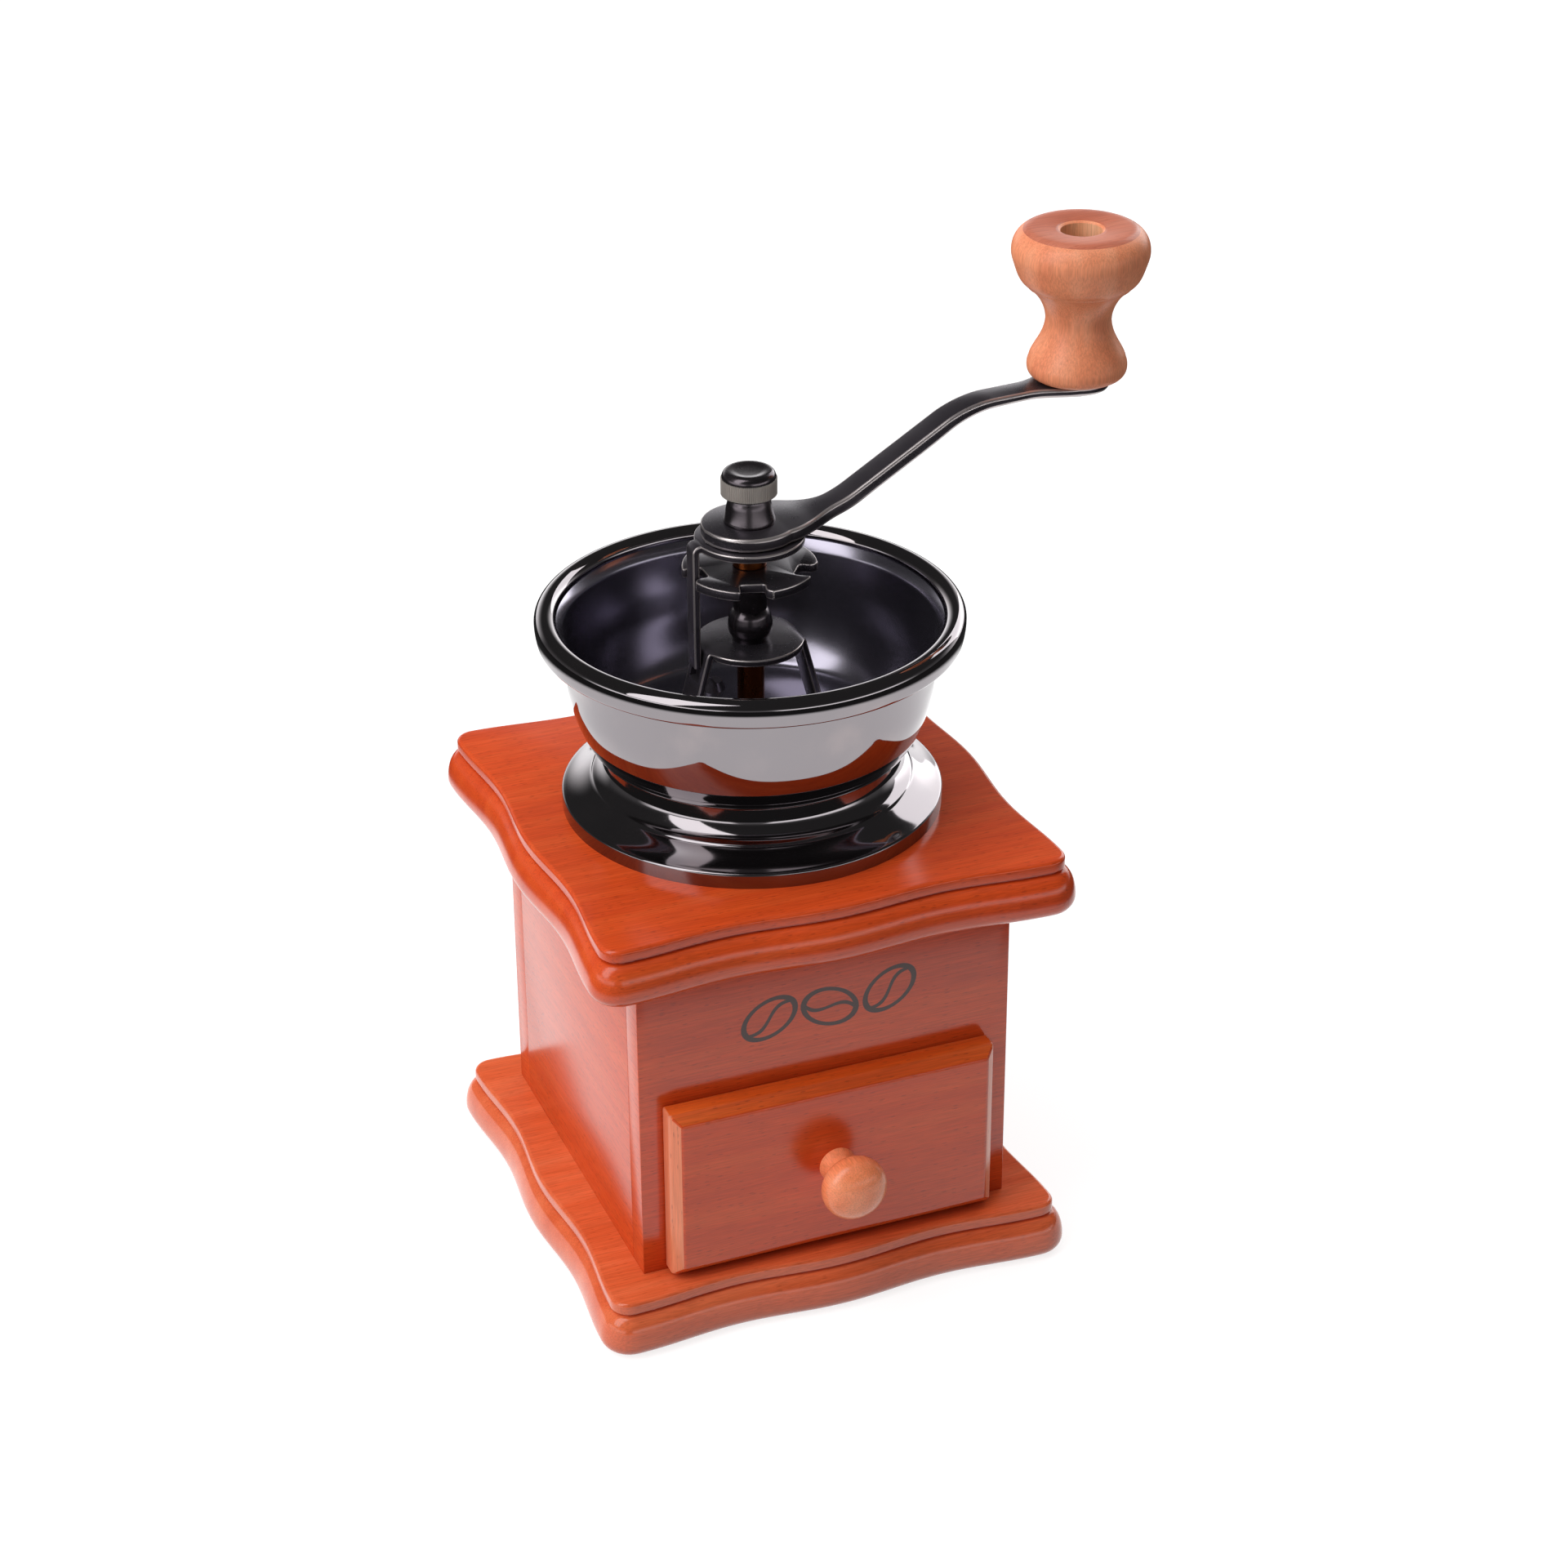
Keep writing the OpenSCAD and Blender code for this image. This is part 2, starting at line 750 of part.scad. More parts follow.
module lower_bridge() {
    color(black_nickel)
        difference() {
            union() {
                translate([0, 0, z_bridge - strap_t])
                    cylinder(r = bridge_r, h = strap_t);
                rotate([90, 0, 0])
                    linear_extrude(bridge_leg_w, center = true)
                        bridge_outline();
            }
            translate([0, 0, z_bridge - strap_t - 1])
                cylinder(r = shaft_r + 0.5, h = strap_t + 2);
            translate([0, 0, z_floor - 1])
                at_ring(2, bolt_circle)
                    cylinder(r = bolt_r + bolt_fit, h = strap_t + 2);
            // Slot for the tip of the locking plate's leg
            translate([-lock_leg_r - 4, -lock_leg_w / 2 - 0.2, z_bridge - 9])
                cube([4 + strap_t + 0.4, lock_leg_w + 0.4, 10]);
        }
}

module bridge_sleeve() {
    color(black_nickel)
        translate([0, 0, z_bridge])
            difference() {
                union() {
                    cylinder(r = sleeve_r, h = sleeve_foot_h - 1);
                    translate([0, 0, sleeve_foot_h - 1 - eps])
                        cylinder(r1 = sleeve_r, r2 = stem_r, h = 1);
                    cylinder(r = stem_r, h = wheel_rise + wheel_t);
                }
                translate([0, 0, -1])
                    cylinder(r = shaft_r + run_fit, h = wheel_rise + wheel_t + 2);
            }
}

module adjusting_wheel() {
    color(black_nickel)
        translate([0, 0, z_wheel])
            difference() {
                cylinder(r = wheel_r, h = wheel_t);
                translate([0, 0, -1])
                    cylinder(r = stem_r + run_fit, h = wheel_t + 2);
                // Square notches with slanted mouths around the rim
                translate([0, 0, -1])
                    at_ring(wheel_notches, wheel_r, 180)
                        linear_extrude(wheel_t + 2)
                            polygon([[-5, -notch_w / 2], [-1.5, -notch_w / 2], [1, -notch_w / 2 - 1.6],
                                [1, notch_w / 2 + 0.6], [-5, notch_w / 2]]);
            }
}

module thrust_bush() {
    color(brass)
        translate([0, 0, z_wheel_top])
            tube(stem_r, shaft_r + run_fit, bush_h);
}

// Round plate under the crank, with one leg through a notch of the wheel
module locking_plate() {
    t = strap_t;
    x = lock_leg_r;
    color(black_nickel)
        difference() {
            union() {
                translate([0, 0, z_lock])
                    cylinder(r = lock_r, h = t);
                rotate([90, 0, 0])
                    linear_extrude(lock_leg_w, center = true)
                        polygon([[0, z_lock], [0, z_lock_top], [-x + 1, z_lock_top], [-x, z_lock_top - 1],
                            [-x, z_bridge - 5], [-x + t, z_bridge - 5], [-x + t, z_lock]]);
            }
            translate([0, 0, z_lock - 1])
                cylinder(r = shaft_r + run_fit, h = t + 2);
        }
}

// ---------------------------------------------------------------- crank

// Top line of the arm as [distance, height]: two flats joined by a slope with round bends
function arm_line(t) =
    let (run = crank_rise / tan(bend_slope), bend_to = bend_from + run,
        cut = bend_r * tan(bend_slope / 2),
        z0 = z_hub_top, z1 = z_arm_end)
    concat([[-hub_r, z0 - t]],
        arc([bend_from - cut, z0 + bend_r], bend_r + t, -90, -90 + bend_slope, 5),
        arc([bend_to + cut, z1 - bend_r], bend_r - t, 90 + bend_slope, 90, 5),
        [[crank_r + arm_end_r, z1 - t]]);

module arm_plan() {
    hw = arm_w / 2;
    circle(r = hub_r);
    translate([crank_r, 0])
        circle(r = arm_end_r);
    polygon([[3, -hub_r + 0.4], [bend_from + 1, -hw], [crank_r - 2.4 * arm_end_r, -hw],
        [crank_r - 2, -arm_end_r + 0.25], [crank_r - 2, arm_end_r - 0.25],
        [crank_r - 2.4 * arm_end_r, hw], [bend_from + 1, hw], [3, hub_r - 0.4]]);
}

module crank_arm() {
    color(black_nickel)
        rotate([0, 0, crank_angle])
            difference() {
                intersection() {
                    rotate([90, 0, 0])
                        linear_extrude(4 * hub_r, center = true)
                            polygon(concat(arm_line(0), reverse(arm_line(arm_t))));
                    translate([0, 0, z_hub - 5])
                        linear_extrude(crank_rise + arm_t + 10)
                            arm_plan();
                }
                rotate([0, 0, -crank_angle])
                    translate([-drive_w / 2 - pin_fit, -drive_w / 2 - pin_fit, z_hub - 1])
                        cube([drive_w + 2 * pin_fit, drive_w + 2 * pin_fit, arm_t + 2]);
                translate([crank_r, 0, z_arm_end - arm_t - 1])
                    cylinder(r = spindle_d / 2 - 0.5 + pin_fit, h = arm_t + 2);
            }
}

module cap_nut() {
    r = nut_d / 2;
    h = nut_h;
    color(black_nickel)
        translate([0, 0, z_hub_top])
            difference() {
                rotate_extrude()
                    polygon(concat([[0, 0], [6.6, 0], [6.6, 0.9], [5.9, 1.1], [4.9, 6.6], [5.2, 7.2],
                        [r - 0.4, 8.6], [r, 9]],
                        arc([r - 1.2, h - 1.6], 1.2, 0, 70, 4), [[r - 2.6, h], [0, h]]));
                translate([0, 0, -1])
                    cylinder(r = drive_w / 2 + pin_fit, h = nut_h - 3 + pin_fit);
            }
}

// Turned crank knob: round foot, waist, a thin ring and a broad flat-topped head
module crank_knob() {
    r = knob_d / 2;
    f = knob_foot_d / 2;
    w = knob_waist_d / 2;
    h = knob_h;
    profile = concat([[0, 0], [f - 3, 0]],
        bezier([f - 2, 0.3], [f - 0.2, 1.2], [f, 2.6], [f, 3.8], 6),
        bezier([f - 0.3, 4.4], [f - 0.6, 7], [w + 0.3, 10], [w, 15.6], 8),
        bezier([w, 16.2], [w, 18], [w + 0.8, 19.2], [w + 1.6, 19.6], 4),
        [[w + 2, 20], [w + 2.3, 20.7]],
        bezier([w + 3.4, 21.6], [w + 7, 25], [r, 27], [r, h - 6.6], 10),
        bezier([r, h - 6.2], [r, h - 2.4], [r - 2.6, h - 0.2], [r - 3.8, h], 8),
        [[0, h]]);
    color(wood_light)
        rotate([0, 0, crank_angle])
            translate([crank_r, 0, z_knob])
                difference() {
                    rotate_extrude()
                        polygon(profile);
                    translate([0, 0, -1])
                        cylinder(r = spindle_d / 2 + run_fit, h = h);
                    translate([0, 0, h - knob_cbore_depth])
                        cylinder(r = knob_cbore_d / 2, h = knob_cbore_depth + 1);
                }
}

// Shouldered spindle, riveted under the arm's end, with its head in the counterbore
module knob_spindle() {
    r = spindle_d / 2;
    z_seat = z_knob_top - knob_cbore_depth + slide_gap;
    color(steel)
        rotate([0, 0, crank_angle])
            translate([crank_r, 0, 0]) {
                translate([0, 0, z_arm_end - arm_t - 1.4])
                    cylinder(r1 = r - 0.6, r2 = r + 1.2, h = 1.4);
                translate([0, 0, z_arm_end - arm_t - eps])
                    cylinder(r = r - 0.5, h = arm_t + 2 * eps);
                translate([0, 0, z_arm_end])
                    cylinder(r = r, h = z_seat - z_arm_end);
                translate([0, 0, z_seat - eps])
                    cylinder(r = r + 1.8, h = 2.2);
            }
}

base_plate();
top_plate();
front_panel();
back_panel();
left_panel();
right_panel();
base_screws();
top_dowels();
drawer_guides();
drawer_front();
drawer_left_side();
drawer_right_side();
drawer_back();
drawer_bottom();
drawer_knob();
drawer_knob_screw();
hopper_skirt();
hopper_bowl();
hopper_bolts();
hopper_washers();
hopper_nuts();
ring_burr();
lower_guide();
guide_screws();
lower_bridge();
bridge_sleeve();
adjusting_wheel();
thrust_bush();
locking_plate();
drive_shaft();
cone_burr();
burr_washer();
burr_nut();
crank_arm();
cap_nut();
crank_knob();
knob_spindle();
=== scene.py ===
"""Looks of a hand-cranked box coffee grinder: stained beech box, black nickel hopper, crank and burrs.

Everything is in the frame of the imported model: origin under the base plate, +Z up, the drawer opens towards
-Y and the crank arm points towards +X. The grinder's sizes are written in millimetres and the studio's in
metres, as the scene is.
"""

import math

import bmesh
import bpy
from mathutils import Matrix, Vector


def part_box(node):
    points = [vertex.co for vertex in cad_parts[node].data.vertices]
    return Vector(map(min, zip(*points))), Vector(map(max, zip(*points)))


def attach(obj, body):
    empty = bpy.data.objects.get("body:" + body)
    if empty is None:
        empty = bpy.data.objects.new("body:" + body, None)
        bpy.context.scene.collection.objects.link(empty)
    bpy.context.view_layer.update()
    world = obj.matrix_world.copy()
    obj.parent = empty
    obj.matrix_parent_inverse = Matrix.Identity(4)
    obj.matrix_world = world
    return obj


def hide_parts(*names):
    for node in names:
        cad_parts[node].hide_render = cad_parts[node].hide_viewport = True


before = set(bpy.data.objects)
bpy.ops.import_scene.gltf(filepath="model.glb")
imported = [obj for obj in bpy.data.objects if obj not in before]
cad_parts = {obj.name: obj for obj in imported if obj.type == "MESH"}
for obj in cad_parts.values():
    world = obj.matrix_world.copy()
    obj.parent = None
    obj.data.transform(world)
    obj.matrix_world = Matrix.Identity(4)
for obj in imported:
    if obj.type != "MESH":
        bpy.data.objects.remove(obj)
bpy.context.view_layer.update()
MM = 0.001


# ---------------------------------------------------------------- sizes read from the frame

def box_mm(node):
    """Lowest and highest corner of a CAD node, in millimetres."""
    return [[v / MM for v in corner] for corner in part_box(node)]


plate_half = box_mm("top_plate")[1][0]
plate_t = box_mm("base_plate")[1][2]
z_case = plate_t
z_top_under, z_top = [corner[2] for corner in box_mm("top_plate")]
body_half = box_mm("front_panel")[1][0]
bowl_low, bowl_high = box_mm("hopper_bowl")
z_bowl = bowl_low[2]
z_bridge = box_mm("bridge_sleeve")[0][2]
z_wheel, z_wheel_top = [corner[2] for corner in box_mm("adjusting_wheel")]
z_lock_foot, z_lock_top = [corner[2] for corner in box_mm("locking_plate")]
z_hub, z_arm_end = [corner[2] for corner in box_mm("crank_arm")]
nut_low, nut_high = box_mm("cap_nut")
z_hub_top = nut_low[2]
knob_low, knob_high = box_mm("crank_knob")
knob_x = (knob_low[0] + knob_high[0]) / 2
knob_y = (knob_low[1] + knob_high[1]) / 2
crank_r = math.hypot(knob_x, knob_y)
crank_angle = math.atan2(knob_y, knob_x)


# ---------------------------------------------------------------- curves, in millimetres

def arc(centre, radius, start, end, steps):
    """Points on an arc, angles in degrees."""
    angles = [math.radians(start + (end - start) * i / steps) for i in range(steps + 1)]
    return [(centre[0] + radius * math.cos(a), centre[1] + radius * math.sin(a)) for a in angles]


def bezier(p0, p1, p2, p3, steps):
    """Points on a cubic curve that leaves p0 towards p1 and reaches p3 from p2."""
    out = []
    for i in range(steps + 1):
        t = i / steps
        s = 1 - t
        weights = (s * s * s, 3 * s * s * t, 3 * s * t * t, t * t * t)
        out.append(tuple(sum(w * p[k] for w, p in zip(weights, (p0, p1, p2, p3))) for k in (0, 1)))
    return out


def joined(start, *pieces):
    """A run of points that begins at start: each piece is a list of points to reach in straight lines, or
    a curve from where the run is, as (leaving towards, arriving from, end, steps)."""
    run = list(start)
    for piece in pieces:
        if isinstance(piece, list):
            run += piece
        else:
            leaving, arriving, end, steps = piece
            run += bezier(run[-1], leaving, arriving, end, steps)[1:]
    return run


def rounded(points, radii, steps):
    """A run of corners, each but the first and last turned into a curve of about its radius."""
    out = [points[0]]
    for before, here, after, radius in zip(points, points[1:], points[2:], radii):
        corner = Vector(here)
        a = Vector(before) - corner
        b = Vector(after) - corner
        cut_back = min(radius, a.length / 2, b.length / 2)
        p = corner + a.normalized() * cut_back
        q = corner + b.normalized() * cut_back
        out += bezier(tuple(p), tuple(p.lerp(corner, 0.6)), tuple(q.lerp(corner, 0.6)), tuple(q), steps)
    return out + [points[-1]]


def run_length(path):
    """Length of a run of points."""
    return sum(math.dist(a, b) for a, b in zip(path, path[1:]))


def densify(points, step):
    """Adds points so that no stretch is longer than step."""
    out = [points[0]]
    for a, b in zip(points, points[1:]):
        count = max(1, math.ceil(math.dist(a, b) / step))
        out += [(a[0] + (b[0] - a[0]) * i / count, a[1] + (b[1] - a[1]) * i / count)
                for i in range(1, count + 1)]
    return out


def eased(share):
    """A share held between 0 and 1, leaving and arriving gently."""
    share = min(max(share, 0), 1)
    return share * share * (3 - 2 * share)


def disc_width(s, centre, radius):
    """Half the width of a disc at distance s along its diameter."""
    d = abs(s - centre)
    return math.sqrt(radius * radius - d * d) if d < radius else 0.0


# ---------------------------------------------------------------- meshes

def new_object(name, mesh):
    """An object in the scene, at the origin."""
    obj = bpy.data.objects.new(name, mesh)
    bpy.context.scene.collection.objects.link(obj)
    return obj


def mesh_object(name, vertices, faces, sharp_angle=35, edge_faces=()):
    """A smooth-shaded object from points in millimetres; edges over the angle stay sharp.

    edge_faces are the numbers of the faces that take the second material."""
    mesh = bpy.data.meshes.new(name)
    mesh.from_pydata([tuple(c * MM for c in v) for v in vertices], [], faces)
    for number in edge_faces:
        mesh.polygons[number].material_index = 1
    work = bmesh.new()
    work.from_mesh(mesh)
    bmesh.ops.remove_doubles(work, verts=work.verts, dist=0.001 * MM)
    bmesh.ops.recalc_face_normals(work, faces=work.faces)
    work.to_mesh(mesh)
    work.free()
    mesh.shade_smooth()
    mesh.set_sharp_from_angle(angle=math.radians(sharp_angle))
    return new_object(name, mesh)


def lathe(name, profile, centre, forward=False, segments=96, closed=True, sharp_angle=35):
    """Turns a profile of (radius, height) about an upright axis through centre, or about one along -Y.

    A closed profile is a ring, and any other has its ends on the axis."""
    vertices, faces, rows = [], [], []
    for radius, height in profile:
        if radius == 0:
            rows.append([len(vertices)])
            vertices.append((0, 0, height))
            continue
        rows.append([len(vertices) + i for i in range(segments)])
        for i in range(segments):
            a = 2 * math.pi * i / segments
            vertices.append((radius * math.cos(a), radius * math.sin(a), height))
    pairs = list(zip(rows, rows[1:]))
    if closed:
        pairs.append((rows[-1], rows[0]))
    for low, high in pairs:
        for i in range(segments):
            j = (i + 1) % segments
            corners = [low[i % len(low)], low[j % len(low)], high[j % len(high)], high[i % len(high)]]
            corners = list(dict.fromkeys(corners))
            if len(corners) > 2:
                faces.append(corners)
    if forward:
        vertices = [(x, -z, y) for x, y, z in vertices]
    vertices = [(x + centre[0], y + centre[1], z + centre[2]) for x, y, z in vertices]
    return mesh_object(name, vertices, faces, sharp_angle)


def prism(name, outline, low, high, upright=False):
    """An outline in X and Y extruded in Z, or an upright one in X and Z extruded in Y."""
    n = len(outline)
    vertices = [(p[0], h, p[1]) if upright else (p[0], p[1], h) for h in (low, high) for p in outline]
    faces = [list(range(n)), list(range(n, 2 * n))]
    faces += [[i, (i + 1) % n, n + (i + 1) % n, n + i] for i in range(n)]
    return mesh_object(name, vertices, faces)


def apply_modifiers(obj):
    """Bakes the modifiers into a plain mesh."""
    depsgraph = bpy.context.evaluated_depsgraph_get()
    mesh = bpy.data.meshes.new_from_object(obj.evaluated_get(depsgraph))
    obj.modifiers.clear()
    obj.data = mesh
    mesh.shade_smooth()
    mesh.set_sharp_from_angle(angle=math.radians(35))
    return obj


def soften(obj, width, segments=3, angle=30, edge_material=-1):
    """Rounds the edges sharper than the angle, with a radius in millimetres."""
    bevel = obj.modifiers.new("edges", "BEVEL")
    bevel.width = width * MM
    bevel.segments = segments
    bevel.limit_method = "ANGLE"
    bevel.angle_limit = math.radians(angle)
    bevel.material = edge_material
    return apply_modifiers(obj)


def cut(obj, cutter):
    """Takes the cutter's shape out of the object."""
    tool = obj.modifiers.new("cut", "BOOLEAN")
    tool.operation = "DIFFERENCE"
    tool.solver = "EXACT"
    tool.object = cutter
    apply_modifiers(obj)
    bpy.data.objects.remove(cutter)


def bore(obj, x, y, radius, low, high, segments=48):
    """Drills an upright round hole."""
    profile = [(0, low), (radius, low), (radius, high), (0, high)]
    cut(obj, lathe("cutter", profile, (x, y, 0), segments=segments, closed=False))


def coat(obj, *materials):
    """Gives the piece its materials; its faces wear the first unless they are told otherwise."""
    for material in materials:
        obj.data.materials.append(material)
    return obj


def finish(obj, body, slot, *nodes):
    """Gives the piece its body and lets it stand for CAD nodes; slot is not used."""
    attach(obj, body)
    if nodes:
        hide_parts(*nodes)


# ---------------------------------------------------------------- material tools

def to_linear(code):
    """An sRGB hex colour as linear light."""
    channels = [int(code[i:i + 2], 16) / 255 for i in (1, 3, 5)]
    linear = [c / 12.92 if c <= 0.04045 else ((c + 0.055) / 1.055) ** 2.4 for c in channels]
    return (*linear, 1.0)


def add(tree, kind, inputs=None, stops=(), **settings):
    """Adds a node with its settings and links. inputs, by a socket's name or number, are values, outputs,
    or nodes that give their first output. stops are a colour ramp's places and hex colours."""
    node = tree.nodes.new(kind)
    for key, value in settings.items():
        setattr(node, key, value)
    for key, value in (inputs or {}).items():
        if isinstance(value, bpy.types.Node):
            value = value.outputs[0]
        if isinstance(value, bpy.types.NodeSocket):
            tree.links.new(value, node.inputs[key])
        else:
            node.inputs[key].default_value = value
    for number, (place, code) in enumerate(stops):
        if number >= len(node.color_ramp.elements):
            node.color_ramp.elements.new(place)
        node.color_ramp.elements[number].position = place
        node.color_ramp.elements[number].color = to_linear(code)
    return node


def new_material(name):
    """A material without nodes, and its tree."""
    material = bpy.data.materials.new(name)
    material.use_nodes = True
    material.node_tree.nodes.clear()
    return material, material.node_tree


# A Map Range node's inputs 0 to 4 are the value, from low, from high, to low and to high
EASED = {"interpolation_type": "SMOOTHSTEP"}

# A Mix node of colours takes its share at input 0 and the colours at 6 and 7, and gives output 2
COLOUR = {"data_type": "RGBA"}


# ---------------------------------------------------------------- printed ornament on the front panel

# Three coffee beans: middle in X and Z, and turn in degrees; half length, half width and line in millimetres
BEANS = ((-15.5, 85.2, 28), (1.0, 85.0, -20), (17.5, 86.6, 36))
BEAN_LONG = 8.4
BEAN_SHORT = 5.7
STROKE = 1.25
SEAM_WAVE = 0.3             # swing of the seam, as a share of the half width
SEAM_BEND = 3.1             # radians of the seam's wave from the middle to an end


def bean_group():
    """A node group that draws one coffee bean: an oval line with an S-shaped seam, 1 on the line."""
    tree = bpy.data.node_groups.new("coffee bean", "ShaderNodeTree")
    for label, kind in (("Position", "NodeSocketVector"), ("Centre", "NodeSocketVector"),
                        ("Turn", "NodeSocketFloat")):
        tree.interface.new_socket(label, in_out="INPUT", socket_type=kind)
    tree.interface.new_socket("Line", in_out="OUTPUT", socket_type="NodeSocketFloat")
    given = add(tree, "NodeGroupInput").outputs
    turned = add(tree, "ShaderNodeVectorRotate", {"Vector": given["Position"], "Center": given["Centre"],
                                                  "Angle": given["Turn"]}, rotation_type="Y_AXIS")
    local = add(tree, "ShaderNodeVectorMath", {0: turned, 1: given["Centre"]}, operation="SUBTRACT")
    # In shares of the bean's half length and half width, so that the oval is a circle of radius 1
    share = add(tree, "ShaderNodeVectorMath", {0: local, 1: (1 / (BEAN_LONG * MM), 0, 1 / (BEAN_SHORT * MM))},
                operation="MULTIPLY")
    radius = add(tree, "ShaderNodeVectorMath", {0: share}, operation="LENGTH").outputs["Value"]
    half_line = STROKE / 2 / BEAN_SHORT
    off_oval = add(tree, "ShaderNodeMath", {0: radius, 1: 1 - half_line}, operation="SUBTRACT")
    along, _, across = add(tree, "ShaderNodeSeparateXYZ", {0: share}).outputs
    bent = add(tree, "ShaderNodeMath", {0: along, 1: SEAM_BEND}, operation="MULTIPLY")
    wave = add(tree, "ShaderNodeMath", {0: bent}, operation="SINE")
    off_seam = add(tree, "ShaderNodeMath", {0: wave, 1: -SEAM_WAVE, 2: across}, operation="MULTIPLY_ADD")
    lines = []
    for off_line in (off_oval, off_seam):
        distance = add(tree, "ShaderNodeMath", {0: off_line}, operation="ABSOLUTE")
        lines.append(add(tree, "ShaderNodeMapRange", {0: distance, 1: half_line * 0.75, 2: half_line,
                                                      3: 1.0, 4: 0.0}, **EASED))
    inside = add(tree, "ShaderNodeMapRange", {0: radius, 1: 0.94, 2: 0.98, 3: 1.0, 4: 0.0}, **EASED)
    seam = add(tree, "ShaderNodeMath", {0: lines[1], 1: inside}, operation="MULTIPLY")
    line = add(tree, "ShaderNodeMath", {0: lines[0], 1: seam}, operation="MAXIMUM")
    add(tree, "NodeGroupOutput", {"Line": line})
    return tree


bean_tree = bean_group()


def bean_print(tree, position):
    """The beans in a row, as a mask."""
    mask = 0.0
    for x, z, turn in BEANS:
        bean = add(tree, "ShaderNodeGroup", {"Position": position, "Centre": (x * MM, 0, z * MM),
                                             "Turn": math.radians(turn)}, node_tree=bean_tree)
        mask = add(tree, "ShaderNodeMath", {0: mask, 1: bean}, operation="MAXIMUM")
    return mask


# ---------------------------------------------------------------- wood

# Pattern cells in millimetres, along and across the grain, and how far each pattern is moved off the others
BAND_CELLS = (90, 6, 3.1)
FIBRE_CELLS = (9, 0.35, 0.0)
FLECK_CELLS = (3.0, 0.7, 7.7)
PEEL_MM = 2.0               # size of the bumps in the varnish


def grained_beech(name, tones, grain, varnish=0.2, varnish_share=1.0, fleck="#7A2A10", fleck_share=0.4,
                  ink=None):
    """Beech, stained and varnished: straight fine grain with short dark ray flecks, under a clear film.

    tones are the dark, middle and light of the wood, grain is the direction it runs in, X, Y or Z, and
    varnish is the film's roughness."""
    material, tree = new_material(name)
    position = add(tree, "ShaderNodeTexCoord").outputs["Object"]
    stretched = []
    for along, across, offset in (BAND_CELLS, FIBRE_CELLS, FLECK_CELLS):
        scale = [1 / (across * MM)] * 3
        scale["XYZ".index(grain)] = 1 / (along * MM)
        stretched.append(add(tree, "ShaderNodeMapping", {"Vector": position, "Location": [offset] * 3,
                                                         "Scale": scale}))
    # Broad bands of growth
    bands = add(tree, "ShaderNodeTexNoise", {"Vector": stretched[0], "Scale": 1.0, "Detail": 3.0,
                                             "Roughness": 0.5, "Distortion": 0.15})
    tone = add(tree, "ShaderNodeValToRGB", {"Fac": bands}, stops=tuple(zip((0.3, 0.5, 0.72), tones)))
    # Fine fibre, darker in its pores
    fibre = add(tree, "ShaderNodeTexNoise", {"Vector": stretched[1], "Scale": 1.0, "Detail": 2.0,
                                             "Roughness": 0.6})
    shade = add(tree, "ShaderNodeMapRange", {0: fibre, 1: 0.25, 2: 0.75, 3: 0.82, 4: 1.08}, **EASED)
    tone = add(tree, "ShaderNodeMix", {0: 1.0, 6: tone, 7: shade}, blend_type="MULTIPLY", **COLOUR).outputs[2]
    # Ray flecks: short dark dashes in some of the cells, drawn 0.35 mm wide so that they show
    cells = add(tree, "ShaderNodeTexVoronoi", {"Vector": stretched[2], "Scale": 1.0}).outputs
    draw = add(tree, "ShaderNodeSeparateColor", {"Color": cells["Color"]})
    chosen = add(tree, "ShaderNodeMapRange", {0: draw, 1: 0.55, 2: 0.75}, **EASED)
    dash = add(tree, "ShaderNodeMapRange", {0: cells["Distance"], 1: 0.12, 2: 0.36, 3: fleck_share, 4: 0.0},
               **EASED)
    flecks = add(tree, "ShaderNodeMath", {0: chosen, 1: dash}, operation="MULTIPLY")
    tone = add(tree, "ShaderNodeMix", {0: flecks, 6: tone, 7: to_linear(fleck)}, **COLOUR).outputs[2]
    if ink:
        tone = add(tree, "ShaderNodeMix", {0: bean_print(tree, position), 6: tone, 7: to_linear(ink)},
                   **COLOUR).outputs[2]
    # Open pores make the wood under the varnish a little rougher, and telegraph faintly through it
    rough = add(tree, "ShaderNodeMapRange", {0: fibre, 1: 0.2, 2: 0.8, 3: 0.5, 4: 0.38}, **EASED)
    pores = add(tree, "ShaderNodeBump", {"Strength": 0.25, "Distance": 0.04 * MM, "Height": fibre})
    # The varnish flows out in a slight orange peel
    peel = add(tree, "ShaderNodeTexNoise", {"Vector": position, "Scale": 1 / (PEEL_MM * MM), "Detail": 1.0})
    flow = add(tree, "ShaderNodeBump", {"Strength": 0.12, "Distance": 0.05 * MM, "Height": peel})
    shader = add(tree, "ShaderNodeBsdfPrincipled",
                 {"Base Color": tone, "Roughness": rough, "Specular IOR Level": 0.0, "Normal": pores,
                  "Coat Weight": varnish_share, "Coat Roughness": varnish, "Coat IOR": 1.5,
                  "Coat Normal": flow})
    add(tree, "ShaderNodeOutputMaterial", {"Surface": shader})
    return material


STAIN = ("#CC461B", "#D44C1D", "#DA5524")

# Red-orange stain under a brushed gloss varnish: the mouldings carry soft highlights
case_front_wood = grained_beech("stained beech, gloss varnish, grain across", STAIN, "X")

# The same boards with the ornament printed under the varnish: dark brown lines that don't shine by themselves
printed_wood = grained_beech("stained beech with a dark print under the varnish", STAIN, "X", 0.17,
                             ink="#3C1C14")

# Sides of the box, a thinner coat of varnish: a broad pale sheen that hides the grain towards a lamp
case_side_wood = grained_beech("stained beech, gloss varnish, grain front to back", STAIN, "Y", 0.26)

# The base is painted a slightly paler orange than the top. This is painted light, standing in for the bounced
# light that brightens the low boards; its flecks are weaker
base_wood_painted_paler = grained_beech("stained beech, paler stain, gloss varnish, grain across",
                          ("#D45A30", "#DC643A", "#E27046"), "X", 0.16, fleck="#9A3C1C", fleck_share=0.3)

